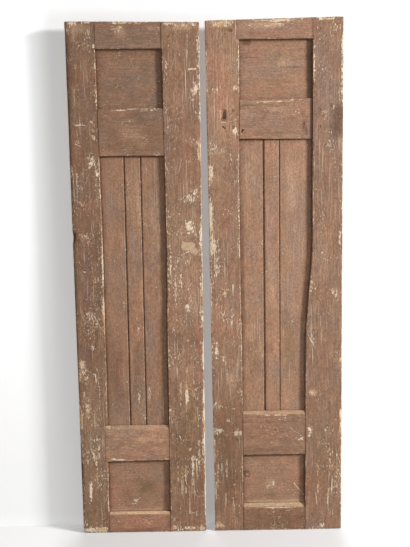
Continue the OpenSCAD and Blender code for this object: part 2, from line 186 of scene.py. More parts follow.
@dataclass
class Outline:
    """How far a node reaches across at each height, and up at each place across."""

    heights: Array
    left: Array
    right: Array
    places: Array
    bottom: Array
    top: Array

    @classmethod
    def of(cls, solid: bmesh.types.BMesh, back_y: float) -> "Outline":
        """Measure the outline of a node's back face.

        Args:
            solid: The node's welded mesh.
            back_y: The depth of its back face.

        Returns:
            The outline, in metres.
        """
        facing = [f for f in solid.faces if f.normal.y > FLAT_NORMAL]
        flat = {f for f in facing if f.calc_center_median().y > back_y - FLAT_PLAY}
        rim = [e for e in solid.edges if sum(f in flat for f in e.link_faces) == 1]
        ends = np.array([[(v.co.x, v.co.z) for v in e.verts] for e in rim])
        box = ends.reshape(-1, 2)
        heights, left, right = cls.spans(ends, 1, box[:, 1].min(), box[:, 1].max(), 0.0)
        left, right = -cls.filled(-left), cls.filled(right)
        places, bottom, top = cls.spans(ends, 0, left.max(), right.min(), OUTLINE_CARRY)
        return cls(heights, left, right, places, bottom, top)

    @staticmethod
    def spans(ends: Array, axis: int, low: float, high: float, carry: float) -> list[Array]:
        """Cut an outline by parallel lines.

        Args:
            ends: The outline's segments, as two points of x and z each.
            axis: 0 to cut at places across, 1 to cut at heights.
            low: Where the cuts start.
            high: Where the cuts end.
            carry: How far past low and high the result is carried on straight.

        Returns:
            Where the lines are, and the lowest and highest crossing of each.
        """
        lines = np.linspace(low + OUTLINE_MARGIN, high - OUTLINE_MARGIN, OUTLINE_CUTS)
        a, b = ends[:, 0], ends[:, 1]
        first, last = [], []
        for line in lines:
            hit = (a[:, axis] - line) * (b[:, axis] - line) < 0
            part = (line - a[hit, axis]) / (b[hit, axis] - a[hit, axis])
            cross = a[hit, 1 - axis] + part * (b[hit, 1 - axis] - a[hit, 1 - axis])
            first.append(cross.min())
            last.append(cross.max())
        step = (OUTLINE_MARGIN + carry) / (lines[SLOPE_CUTS] - lines[0])
        carried = []
        for row in (lines, np.array(first), np.array(last)):
            before = row[0] - (row[SLOPE_CUTS] - row[0]) * step
            after = row[-1] + (row[-1] - row[-1 - SLOPE_CUTS]) * step
            carried.append(np.concatenate([[before], row, [after]]))
        return carried

    @staticmethod
    def filled(edge: Array) -> Array:
        """Fill short dips in an edge, such as housings, which the CAD solid cuts by itself.

        Args:
            edge: The edge's places in order.

        Returns:
            The edge without its dips.
        """
        for step in (np.max, np.min):
            padded = np.pad(edge, DIP_REACH, mode="edge")
            rows = np.lib.stride_tricks.sliding_window_view(padded, 2 * DIP_REACH + 1)
            edge = step(rows, axis=1)
        return edge

    def size(self) -> tuple[float, float]:
        """Give the mean width and height in metres."""
        return float((self.right - self.left).mean()), float((self.top - self.bottom).mean())

    def reach(self, x: Array, z: Array) -> tuple[Array, Array, Array, Array]:
        """Give the outline's left, right, bottom and top at points.

        Args:
            x: Places across, in metres.
            z: Heights, in metres.

        Returns:
            The four edges' places at each point.
        """
        return (np.interp(z, self.heights, self.left), np.interp(z, self.heights, self.right),
                np.interp(x, self.places, self.bottom), np.interp(x, self.places, self.top))

    def place(self, across: Array, up: Array) -> tuple[Array, Array]:
        """Turn fractions of the outline into places.

        Args:
            across: Fractions from the left edge to the right.
            up: Fractions from the bottom edge to the top.

        Returns:
            The x and z of each point, in metres.
        """
        z = self.heights[0] + up * (self.heights[-1] - self.heights[0])
        x = np.full(len(z), (self.left.max() + self.right.min()) / 2)
        for _ in range(PLACE_ROUNDS):
            left, right, bottom, top = self.reach(x, z)
            x = left + across * (right - left)
            z = bottom + up * (top - bottom)
        return x, z


# First grid lines from an edge in mm, and the most of a board that its edges take up.
FINE_EDGE = (0.0, 0.5, 1.1, 1.9, 3.0, 4.6, 7.0)
END_SHARE = 0.42


def graded(length: float, pitch: float) -> Array:
    """Space points over a length, close together at both ends.

    Args:
        length: The length in mm.
        pitch: The spacing in the middle.

    Returns:
        Distances from one end, in mm.
    """
    near = np.array([d for d in FINE_EDGE if d < length * END_SHARE])
    count = max(1, round((length - 2 * near[-1]) / pitch))
    middle = np.linspace(near[-1], length - near[-1], count + 1)
    return np.concatenate([near[:-1], middle, (length - near[:-1])[::-1]])


def box_shell(a: Array, b: Array, c: Array) -> tuple[Array, Array]:
    """Make the closed surface of a box as a grid.

    Args:
        a: Grid places along x.
        b: Grid places along y.
        c: Grid places along z.

    Returns:
        The points and the four corners of each face, facing outwards.
    """
    skin = np.ones((len(a), len(b), len(c)), bool)
    skin[1:-1, 1:-1, 1:-1] = False
    ids = np.full(skin.shape, -1)
    ids[skin] = np.arange(skin.sum())
    i, j, k = np.nonzero(skin)
    quads = []
    for axis, end in itertools.product(range(3), (0, -1)):
        grid = np.take(ids, end, axis=axis)
        corners = [grid[:-1, :-1], grid[1:, :-1], grid[1:, 1:], grid[:-1, 1:]]
        quad = np.stack(corners, -1).reshape(-1, 4)
        outward = (end == -1) == (axis != 1)
        quads.append(quad if outward else quad[:, ::-1])
    return np.stack([a[i], b[j], c[k]], 1), np.concatenate(quads)


@dataclass(frozen=True)
class Wear:
    """How use has changed a board's shape. Depths and sizes are in mm."""

    arris: float = 1.2
    arris_more: float = 2.6
    wave: float = 0.7
    ripple: float = 0.22
    dent: float = 0.7
    nick: float = 2.2
    skin: float = 0.06
    joint_arris: float = 0.5
    rub_size: float = 38
    wave_size: float = 95
    ripple_size: float = 9
    dent_size: float = 24
    nick_size: float = 11
    nick_reach: float = 3.2
    drawn: float = 0.3
    ripple_drawn: float = 0.03
    apart: float = 40
    rubbed: Range = (-0.5, 0.7)
    dented: Range = (0.42, 0.95)
    nicked: Range = (0.1, 0.75)
    held: Range = (0.75, 0.35)

    def shape(self, points: Array, size: Array, way: Way, tight: Array, round_off: Array,
              noise: Noise) -> Array:
        """Wear a square board down.

        Args:
            points: Points on the square board, in mm from its lowest corner.
            size: The board's size in mm.
            way: The way of its grain.
            tight: 1 where a joint keeps the edges sharp, 0 where they are free.
            round_off: Least radius that handling has left on the edges, in mm.
            noise: The board's own noise.

        Returns:
            The worn points.
        """
        drawn, fine = points.copy(), points.copy()
        drawn[:, way.value] *= self.drawn
        fine[:, way.value] *= self.ripple_drawn
        rub = smooth(noise.layered(drawn / self.rub_size), *self.rubbed)
        least = round_off * (self.held[0] + self.held[1] * rub)
        radius = np.maximum(self.arris + self.arris_more * rub * rub, least)
        radius = radius * (1 - tight) + self.joint_arris * tight
        radius = np.minimum(radius, size[1] * END_SHARE)[:, None]
        inner = np.clip(points, radius, size - radius)
        normal = (points - inner) / radius
        normal = normal / np.maximum(np.linalg.norm(normal, axis=1), 1e-9)[:, None]
        to_edge = np.sort(np.minimum(points, size - points), axis=1)[:, 1]
        wave = noise.layered(drawn / self.wave_size + self.apart)
        ripple = noise.at(fine / self.ripple_size + 2 * self.apart)
        dent = noise.layered(points / self.dent_size + 3 * self.apart)
        nick = noise.layered(drawn / self.nick_size + 4 * self.apart)
        depth = self.wave * (0.5 + 0.5 * wave) + self.ripple * (0.5 + 0.5 * ripple)
        depth += self.dent * smooth(dent, *self.dented)
        bite = smooth(nick, *self.nicked) * (1 - tight)
        depth += self.nick * bite * np.exp(-to_edge / self.nick_reach)
        return inner + normal * (radius - self.skin - depth[:, None])


WELD = 0.002 * MM
SHARP = math.radians(40)


def welded(node: str) -> bmesh.types.BMesh:
    """Give a copy of a node's mesh as one closed surface.

    Args:
        node: The CAD node's name.

    Returns:
        The welded mesh, which the caller frees.
    """
    solid = bmesh.new()
    solid.from_mesh(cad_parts[node].data)
    bmesh.ops.remove_doubles(solid, verts=solid.verts, dist=WELD)
    return solid


def new_object(name: str, data: ID) -> Object:
    """Put a mesh, a light or a camera into the scene.

    Args:
        name: The object's name.
        data: What it shows.

    Returns:
        The new object.
    """
    made = bpy.data.objects.new(name, data)
    bpy.context.scene.collection.objects.link(made)
    return made


def mesh_of(name: str, points: Array, faces: list[list[int]]) -> Mesh:
    """Make a mesh from points and faces.

    Args:
        name: The mesh's name.
        points: One row of three coordinates each, in metres.
        faces: Rows of point numbers.

    Returns:
        The new mesh.
    """
    mesh = bpy.data.meshes.new(name)
    mesh.from_pydata(points.tolist(), [], faces)
    mesh.update()
    return mesh


def finished(name: str, mesh: Mesh) -> Object:
    """Shade a mesh smooth between its sharp edges and put it into the scene.

    Args:
        name: The name of the mesh and its object.
        mesh: The mesh.

    Returns:
        The new object.
    """
    mesh.name = name
    mesh.polygons.foreach_set("use_smooth", np.ones(len(mesh.polygons), bool))
    mesh.set_sharp_from_angle(angle=SHARP)
    return new_object(name, mesh)


def points_of(mesh: Mesh) -> Array:
    """Read a mesh's points.

    Args:
        mesh: The mesh.

    Returns:
        One row of three coordinates each.
    """
    flat = np.empty(len(mesh.vertices) * 3)
    mesh.vertices.foreach_get("co", flat)
    return flat.reshape(-1, 3)


def keep_fields(mesh: Mesh, fields: dict[str, Array]) -> None:
    """Store values at a mesh's points for the paint to read.

    Args:
        mesh: The mesh.
        fields: Arrays by name, with one number or a row of three for each point.
    """
    for name, values in fields.items():
        sort, what = ("FLOAT_VECTOR", "vector") if values.ndim == 2 else ("FLOAT", "value")
        kept = mesh.attributes.new(name, sort, "POINT")
        kept.data.foreach_set(what, values.astype(np.float32).ravel())


def block(name: str, low: Triple, high: Triple) -> Object:
    """Make a plain box for a cut.

    Args:
        name: The object's name.
        low: Its lowest corner in metres.
        high: Its highest corner in metres.

    Returns:
        The box.
    """
    points, faces = box_shell(*[np.array(pair) for pair in zip(low, high)])
    return new_object(name, mesh_of(name, points, faces.tolist()))


def carved(skin: Object, added: list[Object], solid: Object) -> Mesh:
    """Join blocks to a worn skin and keep what lies inside a solid.

    Args:
        skin: The worn skin.
        added: Blocks over tenons or tongues.
        solid: The solid that bounds the result.

    Returns:
        The result as a new mesh. The objects that went in are removed.
    """
    for number, other in enumerate([*added, solid]):
        cut = skin.modifiers.new(f"cut{number}", "BOOLEAN")
        cut.operation = "INTERSECT" if other is solid else "UNION"
        cut.solver = "MANIFOLD"
        cut.object = other
    graph = bpy.context.evaluated_depsgraph_get()
    made = bpy.data.meshes.new_from_object(skin.evaluated_get(graph))
    for used in (skin, *added, solid):
        data = used.data
        bpy.data.objects.remove(used)
        bpy.data.meshes.remove(data)
    return made


@dataclass(frozen=True)
class Layer:
    """One noise: cells in a metre, detail, roughness, and how far the grain draws it out."""

    scale: float
    detail: float
    rough: float = 0.55
    drawn: float = 1.0


class Graph:
    """Short ways to add linked nodes to one tree."""

    def __init__(self, tree: NodeTree) -> None:
        """Take the tree that nodes are added to."""
        self.tree = tree

    def node(self, kind: str, inputs: dict[str | int, Feed] | None = None,
             **settings: str | bool | NodeTree) -> Node:
        """Add a node.

        Args:
            kind: Blender's name for the node's type.
            inputs: What its sockets take, by name or number.
            settings: Values of its properties.

        Returns:
            The new node.
        """
        made = self.tree.nodes.new(kind)
        for name, value in settings.items():
            setattr(made, name, value)
        for socket, value in (inputs or {}).items():
            self.feed(made.inputs[socket], value)
        return made

    def feed(self, socket: NodeSocket, value: Feed) -> None:
        """Link a socket to another, or set its value.

        Args:
            socket: The input socket.
            value: What it takes.
        """
        if isinstance(value, NodeSocket):
            self.tree.links.new(value, socket)
        else:
            socket.default_value = value

    def math(self, what: str, *values: Feed) -> NodeSocket:
        """Give the result of a Math node."""
        return self.node("ShaderNodeMath", dict(enumerate(values)), operation=what).outputs[0]

    def times(self, *values: Feed) -> NodeSocket:
        """Multiply values."""
        return functools.reduce(lambda a, b: self.math("MULTIPLY", a, b), values)

    def plus(self, *values: Feed) -> NodeSocket:
        """Add values."""
        return functools.reduce(lambda a, b: self.math("ADD", a, b), values)

    def most(self, *values: Feed) -> NodeSocket:
        """Give the largest of some values."""
        return functools.reduce(lambda a, b: self.math("MAXIMUM", a, b), values)

    def vector(self, what: str, *values: Feed) -> NodeSocket:
        """Give the result of a Vector Math node."""
        made = self.node("ShaderNodeVectorMath", dict(enumerate(values)), operation=what)
        return made.outputs["Value" if what == "LENGTH" else "Vector"]

    def turned(self, place: NodeSocket, angle: Feed) -> NodeSocket:
        """Turn places about the axis of depth."""
        inputs = {"Vector": place, "Angle": angle}
        return self.node("ShaderNodeVectorRotate", inputs, rotation_type="Y_AXIS").outputs[0]

    def noise(self, place: NodeSocket, layer: Layer) -> NodeSocket:
        """Add a noise, about 0.5 on average.

        Args:
            place: Places, with the grain along the third axis.
            layer: The noise's sizes.

        Returns:
            Its value.
        """
        if layer.drawn != 1.0:
            place = self.vector("MULTIPLY", place, (1, 1, layer.drawn))
        inputs = {"Vector": place, "Scale": layer.scale, "Detail": layer.detail, "Roughness": layer.rough}
        return self.node("ShaderNodeTexNoise", inputs).outputs["Fac"]

    def remap(self, value: Feed, low: Feed, high: Feed, start: float = 0, end: float = 1) -> NodeSocket:
        """Ease a value's range from low and high to start and end.

        Args:
            value: The value.
            low: The value that gives start.
            high: The value that gives end.
            start: The result at low.
            end: The result at high.

        Returns:
            The eased value.
        """
        inputs = dict(enumerate((value, low, high, start, end)))
        made = self.node("ShaderNodeMapRange", inputs, interpolation_type="SMOOTHSTEP")
        return made.outputs["Result"]

    def mix(self, part: Feed, first: Feed, second: Feed) -> NodeSocket:
        """Mix two colours by a part from 0 to 1."""
        inputs = {0: part, 6: first, 7: second}
        return self.node("ShaderNodeMix", inputs, data_type="RGBA").outputs[2]

    def seen(self) -> NodeSocket:
        """Give 1 for the rays that show the background: camera, glossy and transmission rays."""
        path = self.node("ShaderNodeLightPath")
        return self.most(*[path.outputs[f"Is {ray} Ray"] for ray in ("Camera", "Glossy", "Transmission")])

    def use(self, group: NodeTree, **inputs: Feed) -> Node:
        """Add a node group and feed its inputs."""
        return self.node("ShaderNodeGroup", inputs, node_tree=group)


class Sort(Enum):
    """Sorts of group socket."""

    VALUE = "NodeSocketFloat"
    VECTOR = "NodeSocketVector"


def new_group(name: str, inputs: dict[str, Sort], outputs: list[str]) -> tuple[Graph, Node, Node]:
    """Start a node group.

    Args:
        name: The group's name.
        inputs: Its inputs by name.
        outputs: Names of its outputs, which are all values.

    Returns:
        The group's graph, its input node and its output node.
    """
    tree = bpy.data.node_groups.new(name, "ShaderNodeTree")
    for label, sort in inputs.items():
        tree.interface.new_socket(label, in_out="INPUT", socket_type=sort.value)
    for label in outputs:
        tree.interface.new_socket(label, in_out="OUTPUT", socket_type=Sort.VALUE.value)
    graph = Graph(tree)
    return graph, graph.node("NodeGroupInput"), graph.node("NodeGroupOutput")


@dataclass(frozen=True)
class Scratch:
    """One set of scratches: its lean, how far it is drawn out, its shift and its weight."""

    lean: float
    drawn: float
    shift: float
    weight: float


# Noises of the paint: streaks and bands along the grain, and blotches.
FIGURE = {"Streak": Layer(300, 4, 0.62, 0.05), "Band": Layer(30, 3, 0.5, 0.14)}
MOTTLE = {"Patch": Layer(11, 4, 0.6, 0.55), "Cloud": Layer(44, 5, 0.65, 0.55),
          "Speck": Layer(210, 5, 0.8, 0.55)}
# Flaking: each reach is a distance from an edge in mm and how much it adds there.
FLAKE = Layer(270, 5, 0.72, 0.36)
FLAKE_GATE = Layer(14, 3)
FLAKE_GATE_RANGE = (0.35, 0.7, -0.06, 0.05)
FLAKE_REACHES = ((16, 0.07), (4.5, 0.09))
FLAKE_STRAYS = 0.06
FLAKE_LOST = (0.675, 0.71)
FLAKE_RIM = (0.60, 0.67)
# Scratches: sets of lines, broken up by a gate.
SCRATCHES = (Scratch(0.0, 0.014, 0.0, 1.0), Scratch(0.03, 0.02, 3.0, 0.8), Scratch(-0.3, 0.04, 7.0, 0.4))
SCRATCH_SCALE = 430
SCRATCH_LINE = (0.66, 0.74)
SCRATCH_GATE = Layer(13, 2, drawn=0.4)
SCRATCH_GATE_RANGE = (0.47, 0.62)
# Dirt and painted shade in corners: each reach is where it starts and is full, in mm from a corner, and how
# dense it is.
GRIME_REACHES = ((22, 0, 0.22), (9.0, 2.0, 0.62))
GRIME_PATCH = Layer(18, 5, 0.68)
GRIME_PATCH_RANGE = (0.5, 0.74)
GRIME_SPREAD = 0.5
GRIME_FINE = Layer(140, 3, 0.6)
GRIME_FINE_RANGE = (0.3, 0.7, 0.6, 1.2)
GRIME_PIT = Layer(240, 3, 0.6)
GRIME_PIT_RANGE = (0.63, 0.70)
GRIME_PITS = 0.6
GRIME_MOST = 0.92
# The marks' ragged rims, and the depths between which they end.
FRAY = Layer(130, 5, 0.7)
FRONT_RANGE = (0.0, -2 * MM)


class Effects:
    """Node groups that the painted materials share."""

    def __init__(self) -> None:
        """Make every group once."""
        self.figure = self.make_noises("Figure", FIGURE)
        self.mottle = self.make_noises("Mottle", MOTTLE)
        self.flakes = self.make_flakes()
        self.scratches = self.make_scratches()
        # Dirt, with painted shade in the corners.
        self.grime = self.make_grime()
        self.fray = self.make_fray()
        self.mark = self.make_mark()

    @staticmethod
    def make_noises(name: str, layers: dict[str, Layer]) -> NodeTree:
        """Make streaks along the grain, or blotches of some sizes.

        Args:
            name: The group's name.
            layers: Its noises by name.

        Returns:
            The node group.
        """
        g, given, out = new_group(name, {"Grain": Sort.VECTOR}, list(layers))
        for label, layer in layers.items():
            g.feed(out.inputs[label], g.noise(given.outputs["Grain"], layer))
        return g.tree

    @staticmethod
    def make_flakes() -> NodeTree:
        """Make masks of lost paint, which gathers along the edges, and of its dark rim.

        Returns:
            The node group.
        """
        values = dict.fromkeys(("Edge", "Loss", "Strays", "Pull"), Sort.VALUE)
        g, given, out = new_group("Flakes", {"Grain": Sort.VECTOR, **values}, ["Mask", "Rim"])
        grain, edge, loss, strays, pull = list(given.outputs)[:5]
        near = g.plus(*[g.times(g.remap(edge, reach, 0), weight) for reach, weight in FLAKE_REACHES])
        drawn = g.math("MULTIPLY_ADD", near, loss, pull)
        drawn = g.math("MULTIPLY_ADD", strays, FLAKE_STRAYS, drawn)
        gate = g.remap(g.noise(grain, FLAKE_GATE), *FLAKE_GATE_RANGE)
        level = g.plus(g.noise(grain, FLAKE), drawn, gate)
        g.feed(out.inputs["Mask"], g.remap(level, *FLAKE_LOST))
        g.feed(out.inputs["Rim"], g.remap(level, *FLAKE_RIM))
        return g.tree

    @staticmethod
    def make_scratches() -> NodeTree:
        """Make a mask of thin scratches, most of them along the grain.

        Returns:
            The node group.
        """
        inputs = {"Grain": Sort.VECTOR, "Amount": Sort.VALUE}
        g, given, out = new_group("Scratches", inputs, ["Mask"])
        sets = []
        for some in SCRATCHES:
            moved = g.vector("ADD", g.turned(given.outputs["Grain"], some.lean), (some.shift, 0, 0))
            line = g.remap(g.noise(moved, Layer(SCRATCH_SCALE, 1, drawn=some.drawn)), *SCRATCH_LINE)
            gate = g.remap(g.noise(moved, SCRATCH_GATE), *SCRATCH_GATE_RANGE)
            sets.append(g.times(line, gate, some.weight))
        g.feed(out.inputs["Mask"], g.times(g.most(*sets), given.outputs["Amount"]))
        return g.tree

    @staticmethod
    def make_grime() -> NodeTree:
        """Make a mask of dirt in patches and small pits, and of dirt with painted shade in corners.

        Returns:
            The node group.
        """
        inputs = {"Grain": Sort.VECTOR, "Nook": Sort.VALUE, "Amount": Sort.VALUE}
        g, given, out = new_group("Grime", inputs, ["Mask"])
        grain, nook, amount = list(given.outputs)[:3]
        # Corner darkening: dirt, and painted shade near corners and below the rails.
        corner = g.most(*[g.times(g.remap(nook, far, near), most) for far, near, most in GRIME_REACHES])
        patch = g.remap(g.noise(grain, GRIME_PATCH), *GRIME_PATCH_RANGE)
        fine = g.remap(g.noise(grain, GRIME_FINE), *GRIME_FINE_RANGE)
        pits = g.remap(g.noise(grain, GRIME_PIT), *GRIME_PIT_RANGE)
        spread = g.most(g.times(patch, amount, GRIME_SPREAD), g.times(pits, GRIME_PITS))
        total = g.times(g.plus(corner, spread), fine)
        g.feed(out.inputs["Mask"], g.math("MINIMUM", total, GRIME_MOST))
        return g.tree

    @staticmethod
    def make_fray() -> NodeTree:
        """Make what the marks share: ragged noise, and a mask of the front.

        Returns:
            The node group.
        """
        g, given, out = new_group("Fray", {"Place": Sort.VECTOR}, ["Fray", "Front"])
        place = given.outputs["Place"]
        g.feed(out.inputs["Fray"], g.math("SUBTRACT", g.noise(place, FRAY), 0.5))
        depth = g.node("ShaderNodeSeparateXYZ", {0: place}).outputs["Y"]
        g.feed(out.inputs["Front"], g.remap(depth, *FRONT_RANGE))
        return g.tree

    @staticmethod
    def make_mark() -> NodeTree:
        """Make the mask of one ragged rounded mark, joined to the masks before it.

        Returns:
            The node group.
        """
        inputs = dict.fromkeys(("Place", "Centre", "Half"), Sort.VECTOR)
        inputs |= dict.fromkeys(("Turn", "Fray", "Ragged", "Soft", "Strength", "Before"), Sort.VALUE)
        g, given, out = new_group("Mark", inputs, ["Mask"])
        place, centre, half, turn, fray, ragged, soft, strength, before = list(given.outputs)[:9]
        turned = g.turned(g.vector("SUBTRACT", place, centre), turn)
        part = g.vector("MULTIPLY", g.vector("DIVIDE", turned, half), (1, 0, 1))
        away = g.math("SQRT", g.vector("LENGTH", g.vector("MULTIPLY", part, part)))
        away = g.math("MULTIPLY_ADD", fray, ragged, away)
        inside = g.times(g.remap(away, 1.0, g.math("SUBTRACT", 1.0, soft)), strength)
        g.feed(out.inputs["Mask"], g.most(inside, before))
        return g.tree


class Kind(Enum):
    """Kinds of mark on the paint: colour, raggedness and softness."""

    RED = (srgb(160, 110, 90), 1.2, 0.9)
    COOL = (srgb(138, 114, 104), 1.2, 0.9)
    OLIVE = (srgb(116, 96, 68), 1.2, 0.9)
    RUB = (srgb(186, 154, 126), 1.6, 0.9)
    # Pale dust at the panels' feet and on the rails' upward bevels; on the bevels it also paints a highlight
    # of light from above.
    DUST = (srgb(198, 170, 136), 0.8, 0.8)
    SHADE = (srgb(62, 44, 33), 0.4, 1.0)
    GHOST = (srgb(200, 174, 144), 0.7, 0.3)
    BARE = (srgb(198, 160, 118), 1.8, 0.7)
    CHIP = (srgb(234, 218, 194), 2.0, 0.7)
    FLAKED = (srgb(228, 210, 182), 0.8, 0.95)
    DARK = (srgb(58, 38, 27), 0.6, 0.5)

    @property
    def colour(self) -> Colour:
        """Give the mark's colour."""
        return self.value[0]


# Marks that tint sound paint, among them dust with a painted highlight; marks of dark stain and of painted
# shade that lie over all; and how much others add to the flaking.
TINTS = (Kind.RED, Kind.COOL, Kind.OLIVE, Kind.RUB, Kind.DUST)
STAINS = (Kind.SHADE, Kind.DARK)
PULLS = ((Kind.CHIP, 0.3), (Kind.BARE, 0.24), (Kind.FLAKED, 0.13))
# Least width of a mark, and the width below which its rim is smoother, in mm.
LEAST_MARK = 1.0
RAGGED_FROM = 6.0


@dataclass(frozen=True)
class Mark:
    """A rounded mark on a board's front, in mm from the board's lowest corner, turned in degrees."""

    x: float
    z: float
    width: float
    height: float
    strength: float
    turn: float = 0.0

    def half(self) -> Triple:
        """Give half its size in metres; the depth is left free."""
        return (max(self.width, LEAST_MARK) * MM / 2, 1.0, max(self.height, LEAST_MARK) * MM / 2)

    def ragged(self, most: float) -> float:
        """Give how ragged its rim is, less on thin marks."""
        return most * min(1.0, min(self.width, self.height) / RAGGED_FROM)


@dataclass(frozen=True)
class Tone:
    """How one board's coat differs from the others."""

    value: float = 1.0
    warm: float = 0.5
    loss: float = 0.8
    strays: float = 0.5
    scratches: float = 0.5
    grime: float = 0.5
    rub: float = 0.2
    streak: float = 1.0


@dataclass(frozen=True)
class Paint:
    """Old brown paint over a pale undercoat on wood: its colours and how far each effect goes."""

    body: Colour = srgb(140, 108, 87)
    warm: Colour = srgb(147, 109, 88)
    cool: Colour = srgb(136, 109, 92)
    thin: Colour = srgb(176, 145, 117)
    under: Colour = srgb(230, 212, 186)
    wood: Colour = srgb(198, 160, 118)
    # Dirt, also the colour of the painted shade in corners and under the rails, and of the dark rim of
    # flaked paint.
    dirt: Colour = srgb(80, 52, 36)
    hue_pull: float = 0.35
    cool_to_body: Range = (0.38, 0.52)
    body_to_warm: Range = (0.52, 0.68)
    band_share: float = 0.7
    thinning: Range = (0.86, 1.12)
    streaks: Range = (0.28, 0.72)
    streak_dark: float = 0.2
    streak_light: float = 0.17
    specks: Range = (0.25, 0.75, 0.62, 1.38)
    clouds: Range = (0.3, 0.7, 0.94, 1.06)
    scratch_cover: float = 0.7
    rim_cover: float = 0.25
    flake_cover: float = 0.9
    woody: Range = (0.5, 0.62)
    ghost_gaps: Range = (0.3, 0.6, 0.6, 1.0)
    rough: Range = (0.3, 0.7, 0.55, 0.72)
    bare_rough: float = 0.18
    gloss: float = 0.1
    streak_relief: float = 0.5
    speck_relief: float = 0.35
    flake_relief: float = -0.6
    scratch_relief: float = -0.4
    bump: float = 0.6
    bump_height: float = 0.8 * MM


class Coat:
    """The paint on one board, as a material of its own."""

    def __init__(self, name: str, node: str, tone: Tone, paint: Paint, effects: Effects) -> None:
        """Start the material and place the shared groups in it.

        Args:
            name: The material's name.
            node: The CAD node, whose marks it shows.
            tone: How the board's coat differs.
            paint: The paint of the doors.
            effects: The shared node groups.
        """
        self.look = bpy.data.materials.new(name)
        self.look.use_nodes = True
        self.g = Graph(self.look.node_tree)
        self.node = node
        self.tone = tone
        self.paint = paint
        self.effects = effects
        self.grain = self.attribute("grain", "Vector")
        self.place = self.attribute("place", "Vector")
        self.fray = self.g.use(effects.fray, Place=self.place).outputs
        self.figure = self.g.use(effects.figure, Grain=self.grain).outputs
        self.mottle = self.g.use(effects.mottle, Grain=self.grain).outputs
        lines = self.g.use(effects.scratches, Grain=self.grain, Amount=tone.scratches)
        self.scratch = lines.outputs["Mask"]
        self.masks = {kind: self.mask(kind) for kind in Kind}
        self.flakes = self.lost_paint().outputs

    def attribute(self, name: str, output: str) -> NodeSocket:
        """Read one of the piece's stored fields."""
        return self.g.node("ShaderNodeAttribute", attribute_name=name).outputs[output]

    def mask(self, kind: Kind) -> NodeSocket | float:
        """Gather the board's marks of one kind into a mask.

        Args:
            kind: The kind of mark.

        Returns:
            The mask, or 0 where the board has no such mark.
        """
        spots = MARKS.get(self.node, {}).get(kind, ())
        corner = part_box(self.node)[0]
        _, ragged, soft = kind.value
        mask: NodeSocket | float = 0.0
        for mark in (Mark(*spot) for spot in spots):
            centre = (corner.x + mark.x * MM, 0, corner.z + mark.z * MM)
            mask = self.g.use(self.effects.mark, Place=self.place, Centre=centre, Half=mark.half(),
                              Turn=-math.radians(mark.turn), Fray=self.fray["Fray"],
                              Ragged=mark.ragged(ragged), Soft=soft, Strength=mark.strength,
                              Before=mask).outputs["Mask"]
        return self.g.times(mask, self.fray["Front"]) if spots else mask

    def lost_paint(self) -> Node:
        """Add the flaking, which the edges and the marks pull in.

        Returns:
            The group's node, with the masks of lost paint and of its rim.
        """
        pull: NodeSocket | float = 0.0
        for kind, weight in PULLS:
            pull = self.g.math("MULTIPLY_ADD", self.masks[kind], weight, pull)
        return self.g.use(self.effects.flakes, Grain=self.grain, Edge=self.attribute("edge", "Fac"),
                          Loss=self.tone.loss, Strays=self.tone.strays, Pull=pull)

    def brown(self) -> NodeSocket:
        """Give the colour of the sound paint.

        Returns:
            The colour, with its tints, thin places and streaks.
        """
        g, paint, tone = self.g, self.paint, self.tone
        hue = g.plus(self.mottle["Patch"], (tone.warm - 0.5) * paint.hue_pull)
        colour = g.mix(g.remap(hue, *paint.cool_to_body), paint.cool, paint.body)
        colour = g.mix(g.remap(hue, *paint.body_to_warm), colour, paint.warm)
        worn = g.plus(self.mottle["Cloud"], g.times(self.figure["Band"], paint.band_share))
        colour = g.mix(g.times(g.remap(worn, *paint.thinning), tone.rub), colour, paint.thin)
        # Tints, among them dust that also paints a highlight on the upward bevels.
        for kind in TINTS:
            colour = g.mix(self.masks[kind], colour, kind.colour)
        ends = (1 - paint.streak_dark * tone.streak, 1 + paint.streak_light * tone.streak)
        lines = g.remap(self.figure["Streak"], *paint.streaks, *ends)
        specks = g.remap(self.mottle["Speck"], *paint.specks)
        clouds = g.remap(self.mottle["Cloud"], *paint.clouds)
        shade = g.times(lines, specks, clouds, tone.value)
        toned = g.node("ShaderNodeHueSaturation", {"Value": shade, "Color": colour})
        return toned.outputs["Color"]

    def damaged(self, colour: NodeSocket) -> NodeSocket:
        """Scratch and flake the paint.

        Args:
            colour: The colour of the sound paint.

        Returns:
            The colour with undercoat and wood showing through.
        """
        g, paint = self.g, self.paint
        colour = g.mix(g.times(self.scratch, paint.scratch_cover), colour, paint.under)
        colour = g.mix(g.times(self.flakes["Rim"], paint.rim_cover), colour, paint.dirt)
        woody = g.most(g.remap(self.mottle["Cloud"], *paint.woody), self.masks[Kind.BARE])
        pale = g.mix(woody, paint.under, paint.wood)
        colour = g.mix(g.times(self.flakes["Mask"], paint.flake_cover), colour, pale)
        ghost = g.times(self.masks[Kind.GHOST], g.remap(self.mottle["Speck"], *paint.ghost_gaps))
        return g.mix(ghost, colour, Kind.GHOST.colour)

    def soiled(self, colour: NodeSocket) -> NodeSocket:
        """Add dirt, painted shade in corners, dark stains and marks of painted shade.

        Args:
            colour: The colour below the dirt.

        Returns:
            The finished colour.
        """
        # The grime mask is dirt in patches and pits, and dirt with painted shade in corners.
        grime = self.g.use(self.effects.grime, Grain=self.grain, Nook=self.attribute("nook", "Fac"),
                           Amount=self.tone.grime).outputs["Mask"]
        colour = self.g.mix(grime, colour, self.paint.dirt)
        # Marks of dark stain and marks of painted shade.
        for kind in STAINS:
            colour = self.g.mix(self.masks[kind], colour, kind.colour)
        return colour

    def relief(self) -> NodeSocket:
        """Give the normal of brush lines, flakes and scratches.

        Returns:
            The normal.
        """
        g, paint = self.g, self.paint
        height = g.times(self.figure["Streak"], paint.streak_relief)
        for mask, deep in ((self.mottle["Speck"], paint.speck_relief),
                           (self.flakes["Mask"], paint.flake_relief), (self.scratch, paint.scratch_relief)):
            height = g.math("MULTIPLY_ADD", mask, deep, height)
        inputs = {"Strength": paint.bump, "Distance": paint.bump_height, "Height": height}
        return g.node("ShaderNodeBump", inputs).outputs["Normal"]

